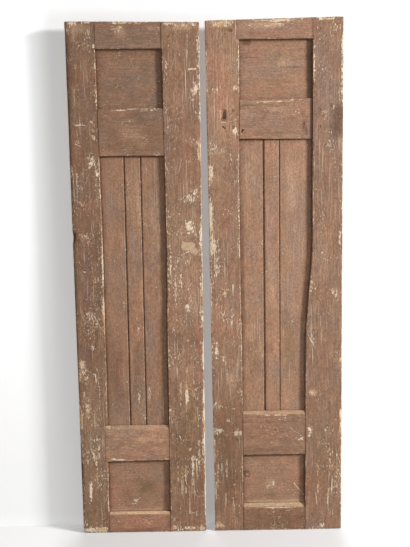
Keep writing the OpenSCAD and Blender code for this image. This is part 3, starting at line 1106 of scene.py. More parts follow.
    def build(self) -> Material:
        """Join colour, roughness and relief in the shader.

        Returns:
            The material.
        """
        g, paint = self.g, self.paint
        surface = self.look.node_tree.nodes["Principled BSDF"]
        surface.inputs["Specular IOR Level"].default_value = paint.gloss
        bare = g.times(self.flakes["Mask"], paint.bare_rough)
        g.feed(surface.inputs["Base Color"], self.soiled(self.damaged(self.brown())))
        g.feed(surface.inputs["Roughness"], g.plus(g.remap(self.mottle["Cloud"], *paint.rough), bare))
        g.feed(surface.inputs["Normal"], self.relief())
        return self.look


# Nail holes and the ring of a knot, in mm.
NAIL_HOLE = 5
NAIL_DARK = 0.8
KNOT_SPOTS = 6
KNOT_RADIUS = 9.5
KNOT_SPOT = (11, 5, 0.7)


def nail_holes(*places: tuple[float, float]) -> tuple[Spot, ...]:
    """Give dark spots for nail holes at places on a board."""
    return tuple((x, z, NAIL_HOLE, NAIL_HOLE, NAIL_DARK) for x, z in places)


def knot(x: float, z: float) -> tuple[Spot, ...]:
    """Give the dark ring of a knot as short strokes.

    Args:
        x: Its place across the board.
        z: Its height on the board.

    Returns:
        The strokes.
    """
    strokes = []
    for step in range(KNOT_SPOTS):
        turn = -step * 360 / KNOT_SPOTS
        at_x = x + KNOT_RADIUS * math.cos(math.radians(turn))
        at_z = z + KNOT_RADIUS * math.sin(math.radians(turn))
        strokes.append((at_x, at_z, *KNOT_SPOT, turn + 90))
    return tuple(strokes)


# Marks by board and kind, in the order of Mark's fields.
MARKS: dict[str, dict[Kind, tuple[Spot, ...]]] = {
    "left_hinge_stile": {
        Kind.RED: (
            (36, 1686, 13, 11, 0.7), (75, 1211, 34, 36, 0.45), (46, 1091, 54, 56, 0.55),
            (50, 876, 70, 260, 0.2), (59, 487, 62, 232, 0.4), (46, 1199, 56, 42, 0.5),
        ),
        Kind.COOL: ((36, 944, 64, 142, 0.4), (60, 1586, 48, 138, 0.3), (43, 525, 51, 145, 0.35)),
        Kind.OLIVE: ((50, 318, 110, 621, 0.3),),
        Kind.RUB: ((49, 1810, 96, 56, 0.7), (50, 526, 60, 200, 0.25), (47, 337, 161, 730, 0.34, 1)),
        Kind.SHADE: (
            (-10, 1503, 69, 1141, 0.85, 0.9), (-10, 765, 54, 1074, 0.75, 1.9), (-6, 205, 51, 587, 1, 1.6),
            (7, 1101, 25, 42, 0.8), (52, 980, 213, 602, 0.08, 1),
        ),
        Kind.BARE: (
            (11, 1801, 13, 40, 0.6), (81, 1496, 10, 9, 0.8), (93, 1483, 9, 12, 0.8),
            (85, 1468, 12, 9, 0.8), (14, 641, 17, 30, 0.7), (10, 586, 13, 46, 0.7),
            (22, 526, 17, 27, 0.6), (71, 13, 48, 27, 0.8), (9, 432, 15, 87, 0.9), (86, 1440, 10, 31, 0.9),
        ),
        Kind.CHIP: (
            (23, 1826, 34, 9, 0.5), (73, 1826, 44, 8, 0.5), (81, 1751, 9, 6, 0.56),
            (101, 1748, 7, 5, 0.56), (86, 1730, 9, 6, 0.5, 20), (41, 1484, 52, 2.6, 0.7, 2),
            (91, 1442, 5, 25, 0.56), (31, 1416, 42, 2.4, 0.6, 25), (36, 1404, 30, 2, 0.5, 20),
            (76, 1352, 17, 14, 0.53), (71, 1339, 9, 7, 0.5), (96, 1315, 14, 20, 0.53),
            (75, 800, 2.4, 58, 0.6, -31), (4, 481, 8, 24, 0.43), (5, 426, 9, 30, 0.43),
            (4, 364, 7, 36, 0.43), (6, 279, 11, 11, 0.56), (49, 297, 6, 22, 0.43),
            (33, 159, 8, 88, 0.95, 2), (100, 1749, 14, 17, 0.8), (39, 973, 11, 9, 0.8),
            (76, 15, 30, 19, 0.5), (68, 311, 4, 58, 1.1, 2), (26, 273, 5, 18, 1),
            (66, 587, 4, 51, 1.1, -4), (8, 274, 7, 11, 1), (49, 299, 4, 29, 1, -12),
        ),
        Kind.FLAKED: (
            (31, 1820, 75, 34, 1.1), (83, 1802, 17, 75, 0.9), (36, 1680, 31, 27, 1.2),
            (36, 1485, 62, 28, 1.2), (84, 1488, 21, 31, 1.2), (33, 1424, 38, 49, 1),
            (80, 1365, 52, 84, 0.95), (9, 1324, 14, 119, 0.8), (105, 997, 18, 163, 1, 1.4),
            (103, 828, 21, 171, 1, 1.4), (39, 1213, 28, 32, 1.1), (42, 1090, 71, 49, 1.1),
            (46, 818, 93, 164, 0.7), (63, 698, 36, 32, 1.5), (21, 636, 40, 115, 1.2),
            (30, 566, 33, 101, 1.1), (7, 357, 22, 241, 1.3, 1), (55, 356, 73, 18, 1.1),
            (24, 12, 96, 22, 1.3), (5, 128, 15, 236, 1, 1), (91, 1295, 14, 209, 0.5, 1),
            (33, 159, 22, 125, 1.6), (58, 242, 15, 220, 0.9), (33, 469, 29, 145, 1),
            (78, 506, 11, 217, 1), (73, 979, 50, 142, 0.7), (50, 337, 102, 584, 0.35),
        ),
        Kind.DARK: (
            # The dark marks at the outer edge near 1100 mm partly paint the shade inside the chipped notch.
            (6, 1095, 14, 42, 0.95), (40, 976, 6, 6, 0.8), (67, 705, 16, 22, 0.35),
            (46, 1091, 30, 26, 0.35), (10, 1101, 14, 32, 0.5), (28, 1087, 35, 11, 0.3, -20),
        ),
    },
    "left_meeting_stile": {
        Kind.RED: (
            (116, 692, 26, 100, 0.6), (57, 1574, 80, 200, 0.2), (110, 739, 21, 179, 0.6),
            (67, 236, 220, 623, 0.2),
        ),
        Kind.OLIVE: ((69, 312, 219, 731, 0.4),),
        Kind.RUB: (
            (75, 1809, 126, 40, 0.7), (99, 852, 54, 190, 0.45), (74, 832, 32, 42, 0.5),
            (74, 593, 80, 200, 0.25), (92, 1120, 60, 70, 0.4), (68, 992, 156, 602, 0.3),
        ),
        Kind.SHADE: ((67, 236, 220, 623, 0.12),),
        Kind.GHOST: ((86, 1057, 53, 35, 0.8, 8), (105, 1041, 35, 25, 0.75, 35)),
        Kind.BARE: (
            (77, 315, 10, 12, 0.8, 45), (14, 18, 17, 20, 0.7), (116, 16, 20, 24, 0.7),
            (77, 314, 11, 13, 0.8),
        ),
        Kind.CHIP: (
            (27, 1818, 32, 10, 0.5), (118, 1814, 28, 12, 0.5), (84, 1292, 1.8, 180, 0.6),
            (98, 1302, 1.7, 150, 0.6, 1), (95, 1744, 1.9, 120, 0.7), (109, 1668, 48, 3, 0.9, -3),
            (117, 1598, 7, 7, 0.5), (112, 1623, 6, 5, 0.5), (80, 1138, 10, 12, 0.43),
            (99, 1122, 14, 10, 0.43), (87, 1104, 16, 9, 0.43), (111, 1099, 8, 10, 0.37),
            (67, 608, 3, 30, 0.6), (67, 543, 3, 9, 0.6), (66, 509, 3, 30, 0.6), (66, 464, 3, 40, 0.6),
            (48, 166, 1.6, 190, 0.4, 1), (72, 137, 1.6, 220, 0.45), (100, 186, 1.6, 200, 0.4, -1),
            (110, 1667, 41, 8, 1, -3), (122, 1603, 10, 21, 0.45), (85, 1133, 28, 32, 0.25),
            (129, 1104, 12, 162, 0.5, 1), (76, 845, 18, 14, 0.6), (71, 604, 11, 22, 0.8),
            (132, 525, 12, 65, 0.7), (115, 8, 22, 19, 0.5), (80, 1036, 42, 4, 0.5, -24),
            (63, 1059, 4, 25, 0.4), (72, 102, 4, 96, 1.1, 1), (44, 168, 4, 74, 1),
            (100, 236, 4, 110, 1, -1), (77, 314, 11, 12, 1.1), (67, 493, 6, 36, 1.1), (96, 566, 4, 22, 1),
        ),
        Kind.FLAKED: (
            (72, 1814, 129, 24, 1.3), (129, 1697, 17, 308, 1), (119, 1603, 31, 69, 0.95),
            (21, 1678, 17, 96, 1), (98, 1427, 59, 52, 1.2), (128, 1392, 15, 139, 1.1),
            (109, 1248, 45, 52, 1.5), (94, 1224, 77, 53, 1.2), (92, 1126, 70, 84, 1.4),
            (126, 865, 18, 356, 1.1, 1), (21, 1003, 12, 269, 1.1, 1), (57, 942, 12, 121, 1.5),
            (79, 837, 36, 53, 1.3), (31, 766, 47, 100, 0.9), (99, 735, 14, 54, 1.2),
            (130, 665, 16, 201, 1, 1), (69, 519, 20, 181, 1.4), (129, 406, 22, 400, 1.3, 0.8),
            (67, 13, 133, 26, 1.5), (132, 178, 16, 367, 1.2, 0.6), (47, 500, 11, 326, 1.1),
            (86, 236, 15, 257, 1.3), (59, 198, 11, 257, 1.2), (110, 349, 15, 438, 1),
            (31, 237, 11, 220, 1), (37, 867, 14, 285, 1), (69, 866, 128, 534, 0.35),
            (72, 274, 132, 549, 0.3),
        ),
        Kind.DARK: ((99, 727, 6, 6, 0.8),),
    },
    "left_top_rail": {
        Kind.RUB: ((190, 57, 56, 52, 0.5), (300, 70, 70, 30, 0.3)),
        Kind.BARE: ((286, 30, 30, 18, 0.5),),
        Kind.CHIP: ((186, 62, 2, 44, 0.5, 12), (200, 56, 2, 40, 0.45, 10), (172, 52, 1.8, 34, 0.4, 8)),
        Kind.FLAKED: ((176, 70, 82, 37, 1.1), (218, 86, 204, 10, 1.2)),
    },
    "left_top_panel": {
        Kind.COOL: ((44, 122, 41, 137, 0.35), (206, 45, 62, 55, 0.4)),
        Kind.OLIVE: (
            (85, 89, 54, 38, 0.6), (190, 159, 50, 60, 0.3), (175, 146, 55, 55, 0.4),
            (80, 81, 62, 55, 0.35),
        ),
        Kind.CHIP: ((160, 120, 2, 70, 0.35, 38), (120, 60, 2, 46, 0.3, 40), (92, 148, 8, 14, 0.7, 20)),
        Kind.FLAKED: ((199, 146, 21, 24, 1.3), (94, 94, 89, 103, 0.5)),
        Kind.DARK: ((93, 146, 9, 6, 0.6),),
    },
    "left_upper_rail": {
        Kind.COOL: ((154, 132, 83, 48, 0.3),),
        Kind.RUB: ((220, 71, 140, 60, 0.35, 24),),
        Kind.CHIP: ((180, 156, 72, 4, 0.75), (272, 154, 56, 4, 0.75), (154, 67, 7, 8, 0.8)),
        Kind.FLAKED: ((224, 161, 193, 10, 1.4), (216, 124, 138, 69, 0.15)),
        Kind.DARK: (*nail_holes((154, 67), (138, 37), (266, 107)),),
    },
    "left_hinge_board": {
        Kind.RED: ((59, 189, 60, 220, 0.25),),
        Kind.COOL: ((46, 777, 49, 246, 0.4),),
        Kind.OLIVE: ((75, 448, 34, 44, 0.4), (60, 729, 60, 200, 0.2)),
        Kind.SHADE: ((49, 201, 94, 397, 0.36),),
        Kind.FLAKED: ((85, 453, 21, 50, 0.9),),
    },
    "left_middle_board": {
        Kind.COOL: ((27, 666, 35, 212, 0.45),),
        Kind.RUB: ((47, 808, 12, 290, 0.5), (51, 782, 11, 176, 0.5), (35, 828, 49, 350, 0.15)),
        Kind.SHADE: ((28, 200, 58, 397, 0.28),),
        Kind.CHIP: ((11, 531, 8, 17, 0.43), (40, 333, 6, 10, 0.43)),
        Kind.FLAKED: ((36, 365, 21, 179, 0.9), (32, 115, 25, 159, 0.8)),
    },
    "left_meeting_board": {
        Kind.RED: ((44, 377, 50, 260, 0.25),),
        Kind.COOL: ((28, 364, 50, 179, 0.35),),
        Kind.RUB: ((10, 123, 12, 92, 0.6), (46, 727, 50, 300, 0.25), (62, 739, 18, 281, 0.4)),
        Kind.FLAKED: ((62, 703, 14, 197, 0.9), (14, 114, 18, 145, 1)),
    },
    "left_lower_rail": {
        Kind.RED: ((224, 36, 161, 44, 0.4),),
        Kind.COOL: ((188, 98, 84, 20, 0.6),),
        Kind.RUB: ((254, 81, 124, 36, 0.25),),
        Kind.DUST: ((216, 128, 546, 22, 0.15),),
        Kind.BARE: ((104, 132, 25, 17, 0.9),),
        Kind.CHIP: (
            (148, 6, 32, 8, 0.46), (174, 2, 18, 7, 0.46), (146, 7, 55, 8, 0.9, 2),
            (102, 132, 29, 13, 0.9, 8), (120, 10, 22, 9, 0.9, 4), (184, 1, 29, 7, 0.8, -4),
        ),
        Kind.FLAKED: ((210, 62, 161, 58, 0.5),),
        Kind.DARK: (*nail_holes((250, 110)),),
    },
    "left_bottom_panel": {
        Kind.OLIVE: ((150, 100, 96, 82, 0.55),),
        Kind.DUST: ((125, 15, 554, 22, 0.2, 0.5),),
        Kind.SHADE: ((150, 107, 132, 110, 0.2),),
        Kind.FLAKED: ((111, 50, 52, 44, 0.9),),
    },
    "left_bottom_rail": {
        Kind.RED: ((212, 38, 230, 70, 0.35),),
        Kind.DUST: ((210, 74, 554, 16, 0.65, 0.5),),
        Kind.SHADE: ((208, 5, 333, 37, 0.35), (98, 42, 37, 111, 0.25), (320, 38, 30, 111, 0.3)),
        Kind.FLAKED: ((210, 40, 163, 37, 0.6), (246, 43, 133, 37, 0.9)),
        Kind.DARK: ((208, -9, 333, 11, 0.25),),
    },
    "right_meeting_stile": {
        Kind.RED: (
            (54, 1605, 96, 370, 0.75), (45, 821, 60, 200, 0.2), (60, 291, 219, 731, 0.3),
            (62, 1507, 28, 45, 0.6),
        ),
        Kind.COOL: (
            (101, 1302, 28, 240, 0.55), (70, 723, 14, 28, 0.4), (88, 1091, 46, 148, 0.4),
            (67, 820, 71, 178, 0.35),
        ),
        Kind.OLIVE: ((60, 291, 256, 731, 0.35), (93, 1479, 35, 48, 0.4)),
        Kind.RUB: ((56, 1815, 112, 34, 0.7), (76, 572, 60, 160, 0.3), (56, 1561, 172, 690, 0.2)),
        Kind.SHADE: (
            (-14, 973, 11, 1985, 0.5, 0.9), (101, 1321, 31, 209, 0.18), (60, 291, 256, 841, 0.36),
            (64, 1508, 26, 41, 0.3), (63, 1042, 141, 565, 0.06),
        ),
        Kind.BARE: (
            (11, 1110, 21, 225, 0.25, 0.8), (23, 30, 26, 26, 0.8), (14, 1309, 21, 84, 0.2),
            (62, 1514, 16, 28, 0.3),
        ),
        Kind.CHIP: (
            (95, 1476, 14, 9, 0.32), (103, 1463, 16, 12, 0.33), (93, 1457, 8, 8, 0.32),
            (101, 1447, 14, 8, 0.3), (40, 1600, 7, 20, 0.37), (99, 1605, 5, 40, 0.37),
            (63, 1486, 34, 3.5, 0.6), (86, 900, 6, 80, 0.7), (26, 711, 8, 8, 0.53),
            (21, 672, 9, 10, 0.53), (56, 630, 8, 7, 0.53), (14, 617, 8, 8, 0.53), (62, 420, 16, 18, 0.5),
            (79, 464, 24, 6, 0.43), (91, 388, 48, 2.6, 0.7, 2), (91, 375, 40, 2.6, 0.7, 3),
            (109, 358, 16, 10, 0.43), (103, 335, 2.6, 80, 0.7), (83, 179, 18, 8, 0.53),
            (79, 139, 2, 60, 0.5), (86, 147, 2, 66, 0.5, 2), (103, 1452, 14, 14, 0.3),
            (26, 708, 9, 14, 0.9), (32, 386, 18, 12, 0.7), (50, 119, 4, 96, 1, 1), (14, 150, 4, 81, 1),
            (79, 99, 4, 74, 1.1, -4), (80, 176, 11, 6, 1.1), (65, 419, 11, 9, 0.8),
            (108, 369, 11, 36, 0.6), (37, 249, 4, 51, 1, 2),
        ),
        Kind.FLAKED: (
            (53, 1815, 109, 34, 1.3), (109, 1797, 12, 68, 1.5), (2, 1646, 14, 275, 1.2, 0.6),
            (118, 1694, 10, 226, 0.6, 0.5), (101, 1601, 24, 41, 1.3), (32, 1595, 38, 38, 1.1),
            (100, 1452, 45, 55, 1.1), (26, 1398, 56, 76, 1), (14, 1316, 35, 105, 1.2),
            (12, 1163, 32, 232, 1.2, 0.8), (21, 1068, 60, 113, 1.2), (6, 847, 16, 250, 1.4, 0.8),
            (25, 675, 25, 101, 1.4), (26, 479, 65, 58, 1.3), (32, 382, 44, 33, 1.6),
            (94, 373, 47, 40, 1.5), (8, 235, 13, 476, 1.2, 0.5), (34, 19, 81, 26, 1.3),
            (57, 864, 11, 285, 1), (30, 972, 35, 142, 1), (81, 791, 14, 214, 0.9),
            (43, 646, 43, 108, 0.9), (22, 196, 9, 257, 0.9), (55, 234, 11, 220, 1), (84, 195, 11, 294, 1),
            (54, 900, 107, 533, 0.35),
        ),
        Kind.DARK: (
            (62, 1518, 4, 4, 0.35), (63, 1506, 4, 4, 0.35), (62, 1496, 4, 4, 0.35),
            (65, 1465, 7, 7, 0.95), (63, 1506, 29, 45, 0.34),
        ),
    },
    "right_top_rail": {
        Kind.RED: ((239, 18, 205, 31, 0.6),),
        Kind.COOL: ((243, 33, 307, 89, 0.4),),
        Kind.RUB: ((195, 47, 177, 34, 0.5),),
        Kind.SHADE: ((239, 16, 273, 27, 0.12),),
        Kind.BARE: ((237, 62, 250, 10, 0.3),),
        Kind.CHIP: ((283, 8, 20, 6, 0.5), (358, 17, 8, 14, 0.5), (361, 9, 5, 17, 0.7)),
        Kind.FLAKED: ((239, 61, 245, 14, 1, -0.9), (154, 44, 102, 34, 1), (229, 46, 225, 31, 0.9, -0.9)),
    },
    "right_top_panel": {
        Kind.RED: ((71, 162, 96, 82, 0.35),),
        Kind.OLIVE: ((147, 150, 36, 46, 0.6),),
        Kind.RUB: ((170, 131, 89, 62, 0.3),),
        Kind.SHADE: ((257, 116, 24, 220, 0.3, 0.2),),
        Kind.DARK: (
            (56, 153, 86, 2.6, 0.6), (192, 119, 106, 2.2, 0.45), (233, 179, 45, 2.2, 0.5),
            (38, 203, 42, 22, 0.5), (192, 117, 99, 3, 0.35, 1),
        ),
    },
    "right_upper_rail": {
        Kind.RED: ((340, 45, 16, 32, 0.6), (340, 57, 28, 104, 0.3)),
        Kind.COOL: ((257, 55, 72, 30, 0.5), (236, 72, 173, 69, 0.25)),
        Kind.RUB: ((222, 129, 230, 10, 0.6), (252, 100, 160, 26, 0.3)),
        Kind.SHADE: ((236, 21, 277, 21, 0.2), (340, 50, 31, 104, 0.35)),
        Kind.FLAKED: ((233, 128, 193, 10, 1.2, -0.7), (344, 70, 14, 90, 0.9)),
        Kind.DARK: (
            (153, 117, 88, 2.6, 0.6), (122, 28, 8, 8, 0.95), (337, 47, 10, 31, 0.45, 5),
            (346, 26, 10, 28, 0.4, -8), (333, 87, 7, 21, 0.3),
        ),
    },
    "right_hinge_board": {
        Kind.COOL: ((70, 578, 50, 260, 0.3),),
        Kind.OLIVE: ((43, 243, 72, 323, 0.4),),
        Kind.RUB: ((50, 819, 60, 260, 0.25),),
        Kind.SHADE: ((43, 217, 93, 395, 0.08),),
        Kind.FLAKED: ((45, 927, 42, 56, 0.8), (43, 308, 72, 215, 0.4)),
    },
    "right_middle_board": {
        Kind.COOL: ((34, 667, 49, 317, 0.5),),
        Kind.RUB: ((36, 477, 40, 300, 0.25),),
    },
    "right_meeting_board": {
        Kind.OLIVE: ((55, 198, 60, 240, 0.25),),
        Kind.SHADE: ((21, 509, 18, 929, 0.4),),
    },
    "right_hinge_stile": {
        Kind.RED: ((76, 303, 219, 731, 0.25),),
        Kind.COOL: ((73, 1608, 110, 380, 0.4), (63, 423, 100, 180, 0.25)),
        Kind.OLIVE: ((76, 303, 219, 731, 0.3),),
        Kind.RUB: ((25, 522, 46, 42, 0.6), (63, 1021, 60, 260, 0.3)),
        Kind.BARE: ((97, 1531, 14, 28, 0.7, 20),),
        Kind.CHIP: (
            (63, 1516, 36, 2.2, 0.5, 18), (65, 1491, 34, 2.2, 0.5, 24), (25, 711, 2.4, 54, 0.6, -41),
            (16, 383, 12, 12, 0.53), (14, 359, 14, 14, 0.53), (127, 641, 10, 24, 0.5),
            (87, 127, 1.8, 230, 0.45), (95, 137, 1.8, 220, 0.4, 1), (102, 107, 1.8, 200, 0.4),
            (126, 638, 11, 18, 0.9), (37, 898, 7, 11, 0.8), (61, 326, 8, 8, 0.9), (16, 384, 15, 15, 0.7),
            (100, 1531, 7, 17, 0.8), (92, 1443, 4, 35, 0.6), (27, 702, 4, 72, 0.7, -28),
            (98, 170, 4, 96, 0.9, 3), (42, 113, 4, 81, 0.9, -6), (84, 124, 4, 88, 0.9, 2),
            (116, 284, 7, 11, 1),
        ),
        Kind.FLAKED: (
            (110, 1801, 55, 68, 1.25), (79, 1826, 102, 14, 1.6, -0.5), (128, 1688, 12, 308, 1.2),
            (73, 1511, 62, 76, 1.1), (87, 1392, 45, 70, 0.6), (123, 1071, 14, 106, 1.5),
            (107, 871, 43, 93, 1), (25, 518, 43, 36, 1.3), (21, 376, 33, 55, 1.6),
            (129, 416, 13, 160, 1.1), (62, 16, 26, 26, 1.3), (113, 188, 44, 220, 0.3),
            (33, 1690, 10, 206, 1), (47, 190, 11, 220, 1.1), (91, 227, 7, 257, 1),
            (101, 341, 9, 219, 0.6), (77, 112, 29, 111, 0.9), (60, 1142, 35, 211, 0.5),
        ),
        Kind.DARK: (
            *nail_holes((108, 1218), (35, 895), (21, 798), (113, 284), (61, 344), (61, 324)),
            (118, 1487, 62, 131, 0.45), (104, 1453, 45, 69, 0.35), (92, 1534, 17, 24, 0.4),
        ),
    },
    "right_lower_rail": {
        Kind.DUST: ((222, 158, 545, 18, 0.4, 0.3),),
        Kind.SHADE: ((214, 18, 292, 37, 0.18),),
        Kind.CHIP: ((262, 141, 8, 7, 0.9), (214, 48, 15, 12, 0.6)),
        Kind.FLAKED: (
            (320, 58, 29, 15, 1.4), (178, 102, 109, 58, 0.5), (229, 149, 225, 6, 1.6, 0.3),
            (214, 78, 160, 73, 0.6),
        ),
        Kind.DARK: (*nail_holes((261, 142), (227, 95), (214, 48), (314, 61)),),
    },
    "right_bottom_panel": {
        Kind.OLIVE: ((117, 41, 221, 29, 0.2),),
        Kind.RUB: ((113, 87, 51, 51, 0.4), (26, 122, 12, 12, 0.9)),
        Kind.DUST: ((128, 16, 553, 18, 0.3, 0.3),),
        Kind.SHADE: ((240, 108, 22, 162, 0.3, 0.2),),
        Kind.CHIP: (
            (101, 97, 2.6, 160, 0.45), (122, 87, 2, 60, 0.4), (124, 85, 7, 22, 0.75),
            (108, 76, 7, 11, 0.7), (203, 80, 4, 18, 1, -35), (218, 61, 4, 37, 1, -40),
            (234, 41, 4, 22, 0.9, -50),
        ),
        Kind.DARK: (*knot(27, 122), (20, 127, 30, 30, 0.4)),
    },
    "right_bottom_rail": {
        Kind.OLIVE: ((221, 46, 296, 89, 0.25),),
        Kind.DUST: ((222, 99, 553, 33, 0.9, 0.3),),
        Kind.SHADE: ((221, 34, 296, 81, 0.1),),
        Kind.CHIP: ((220, 31, 2, 50, 0.5), (332, 30, 2, 50, 0.5)),
        Kind.FLAKED: ((225, 86, 229, 7, 1.2, 0.3),),
    },
}


# How far panels reach into their grooves, and a distance from every corner, in mm.
GROOVE_REACH = 11.2
FAR_AWAY = 100.0
# Where rays start before the front, and the normals of a sloping cut.
RAY_START = 50 * MM
SLOPING = (-0.99999, -0.2)
# What keeps flaking off a joint in mm, and how each board's grain is set apart.
TIGHT_AWAY = 30.0
GRAIN_STEP = 1.37
GRAIN_SPAN = 20


@dataclass
class Board:
    """One board of a leaf: its CAD node worn down and painted. Pitches are in mm."""

    node: str
    way: Way
    slot: Slot
    seed: int
    tone: Tone = Tone()
    wear: Wear = Wear()
    pitch_across: float = 4.6
    pitch_deep: float = 5.0
    pitch_along: float = 6.2
    outline: Outline | None = field(default=None, init=False)
    piece: Object | None = field(default=None, init=False)

    def tight(self, x: Array, z: Array) -> Array:
        """Give 1 where a joint keeps the edges sharp, at places in metres."""
        return np.zeros(len(x))

    def round_off(self, x: Array, z: Array) -> Array:
        """Give the least radius that handling has left on the edges, in mm."""
        return np.zeros(len(x))

    def blocks(self) -> list[Object]:
        """Make blocks over what stands out from the board."""
        return []

    def nook(self, x: Array, z: Array) -> Array:
        """Give the distance from the nearest sheltered corner, in mm."""
        return np.full(len(x), FAR_AWAY)

    def build(self) -> None:
        """Make the worn mesh inside the CAD node's solid."""
        low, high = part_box(self.node)
        solid = welded(self.node)
        self.outline = Outline.of(solid, high.y)
        skin = self.skin(solid, low, high)
        bound = bpy.data.meshes.new("bound")
        solid.to_mesh(bound)
        solid.free()
        made = carved(skin, self.blocks(), new_object("bound", bound))
        self.piece = finished(f"{self.node}_worn", made)
        self.store(low, high)
        LOG.info("%s: %d faces", self.piece.name, len(made.polygons))

    def skin(self, solid: bmesh.types.BMesh, low: Vector, high: Vector) -> Object:
        """Make the board's worn surface, before the solid cuts it.

        Args:
            solid: The node's welded mesh.
            low: The node's lowest corner.
            high: The node's highest corner.

        Returns:
            The closed surface.
        """
        width, tall = self.outline.size()
        size = np.array([width, high.y - low.y, tall]) / MM
        steps = [self.pitch_across, self.pitch_deep, self.pitch_along]
        if self.way is Way.ACROSS:
            steps.reverse()
        points, faces = box_shell(*[graded(length, step) for length, step in zip(size, steps)])
        x, z = self.outline.place(points[:, 0] / size[0], points[:, 2] / size[2])
        tight, round_off = self.tight(x, z), self.round_off(x, z)
        worn = self.wear.shape(points, size, self.way, tight, round_off, Noise(self.seed))
        x, z = self.outline.place(worn[:, 0] / size[0], worn[:, 2] / size[2])
        y = low.y + worn[:, 1] * MM
        cut = self.front_cuts(solid, x, z, low.y)
        y = y + cut * (high.y - y) / (high.y - low.y)
        return new_object("skin", mesh_of("skin", np.stack([x, y, z], 1), faces.tolist()))

    @staticmethod
    def front_cuts(solid: bmesh.types.BMesh, x: Array, z: Array, front_y: float) -> Array:
        """Find how far the solid's sloping cuts lie behind its front.

        Args:
            solid: The node's welded mesh.
            x: Places across, in metres.
            z: Heights, in metres.
            front_y: The depth of the front face.

        Returns:
            The depth of the cuts at each place, in metres.
        """
        tree = BVHTree.FromBMesh(solid)
        deep = np.zeros(len(x))
        for number, (at_x, at_z) in enumerate(zip(x, z)):
            hit, normal, _, _ = tree.ray_cast((at_x, front_y - RAY_START, at_z), (0, 1, 0))
            if hit is not None and SLOPING[0] < normal.y < SLOPING[1]:
                deep[number] = hit.y - front_y
        return deep

    def store(self, low: Vector, high: Vector) -> None:
        """Store the fields that the paint reads.

        Args:
            low: The node's lowest corner.
            high: The node's highest corner.
        """
        points = points_of(self.piece.data)
        x, y, z = points.T
        left, right, bottom, top = self.outline.reach(x, z)
        spans = [np.minimum(x - left, right - x), np.minimum(y - low.y, high.y - y),
                 np.minimum(z - bottom, top - z)]
        edge = np.sort(np.abs(np.stack(spans, 1)), axis=1)[:, 1] / MM
        edge = edge + TIGHT_AWAY * self.tight(x, z)
        grain = points if self.way is Way.UP else points[:, ::-1]
        shift = self.seed * GRAIN_STEP % GRAIN_SPAN
        keep_fields(self.piece.data, {"grain": grain + shift, "place": points, "edge": edge,
                                      "nook": self.nook(x, z)})

    def dress(self, paint: Paint, effects: Effects) -> None:
        """Paint the board and give it its place in the part.

        Args:
            paint: The paint of the doors.
            effects: The shared node groups.
        """
        coat = Coat(f"{self.node}_paint", self.node, self.tone, paint, effects)
        self.piece.data.materials.clear()
        self.piece.data.materials.append(coat.build())
        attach(self.piece, BODY)
        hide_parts(self.node)


@dataclass
class Stile(Board):
    """An upright of the frame. A reach runs from where its effect starts to where it is full, in mm."""

    inner: int = 1
    rails: tuple[str, ...] = ()
    handled: float = 0.0
    foot: float = 4.0
    joint_ends: float = 6.0
    joint_reach: Range = (12, 6)
    held_reach: Range = (34, 12)
    head_reach: Range = (6, 40)
    foot_rise: Range = (30, 10)
    foot_reach: Range = (60, 30)

    def tight(self, x: Array, z: Array) -> Array:
        """Keep the inner edge sharp beside the rails.

        Args:
            x: Places across, in metres.
            z: Heights, in metres.

        Returns:
            1 where the edge is sharp, 0 where it is free.
        """
        left, right, _, _ = self.outline.reach(x, z)
        away = (right - x if self.inner > 0 else x - left) / MM
        ends = self.joint_ends * MM
        beside = np.zeros(len(x))
        for rail in self.rails:
            low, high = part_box(rail)
            along = smooth(z, low.z, low.z + ends) * smooth(z, high.z, high.z - ends)
            beside = np.maximum(beside, along)
        return beside * smooth(away, *self.joint_reach)

    def round_off(self, x: Array, z: Array) -> Array:
        """Round the outer edge, and the corner at the foot.

        Args:
            x: Places across, in metres.
            z: Heights, in metres.

        Returns:
            The least radius of the edges, in mm.
        """
        left, right, _, top = self.outline.reach(x, z)
        away = (x - left if self.inner > 0 else right - x) / MM
        held = self.handled * smooth(away, *self.held_reach) * smooth((top - z) / MM, *self.head_reach)
        foot = self.foot * smooth(z / MM, *self.foot_rise) * smooth(away, *self.foot_reach)
        return np.maximum(held, foot)


@dataclass
class Rail(Board):
    """A cross member of the frame, with a tenon at each end. Sizes are in mm."""

    shoulder: Range = (9, 4)
    dirt_pace: float = 2.2
    dirt_start: float = 3.2
    cover: float = 1.5
    half_tenon: float = 7.0

    def from_shoulder(self, x: Array, z: Array) -> Array:
        """Give the distance from the nearer shoulder, in mm."""
        left, right, _, _ = self.outline.reach(x, z)
        return np.minimum(x - left, right - x) / MM

    def tight(self, x: Array, z: Array) -> Array:
        """Keep the shoulders sharp."""
        return smooth(self.from_shoulder(x, z), *self.shoulder)

    def nook(self, x: Array, z: Array) -> Array:
        """Measure from the shoulders, where dirt draws the joints."""
        return np.maximum(self.from_shoulder(x, z), 0) * self.dirt_pace + self.dirt_start

    def blocks(self) -> list[Object]:
        """Cover both tenons and their haunches.

        Returns:
            Two blocks.
        """
        low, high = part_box(self.node)
        over, half = self.cover * MM, self.half_tenon * MM
        ends = ((low.x - over, self.outline.left.max() + over),
                (self.outline.right.min() - over, high.x + over))
        return [block("tenon", (a, -half, low.z - over), (b, half, high.z + over)) for a, b in ends]


@dataclass
class Panel(Board):
    """A flat panel held in the grooves of the frame."""

    # Paces at the left, right, bottom and top edges. The slow pace at the top widens the corner darkening
    # below the rail above into a painted shadow; the fast one at the bottom keeps it thin.
    paces: tuple[float, float, float, float] = (1.0, 1.0, 9.0, 0.7)

    def nook(self, x: Array, z: Array) -> Array:
        """Measure from the frame's inner edges.

        Args:
            x: Places across, in metres.
            z: Heights, in metres.

        Returns:
            The distance from the nearest edge in mm, by its pace.
        """
        left, right, bottom, top = self.outline.reach(x, z)
        sides = (x - left, right - x, z - bottom, top - z)
        near = [(away / MM - GROOVE_REACH) * pace for away, pace in zip(sides, self.paces)]
        return np.maximum(np.min(near, axis=0), 0)


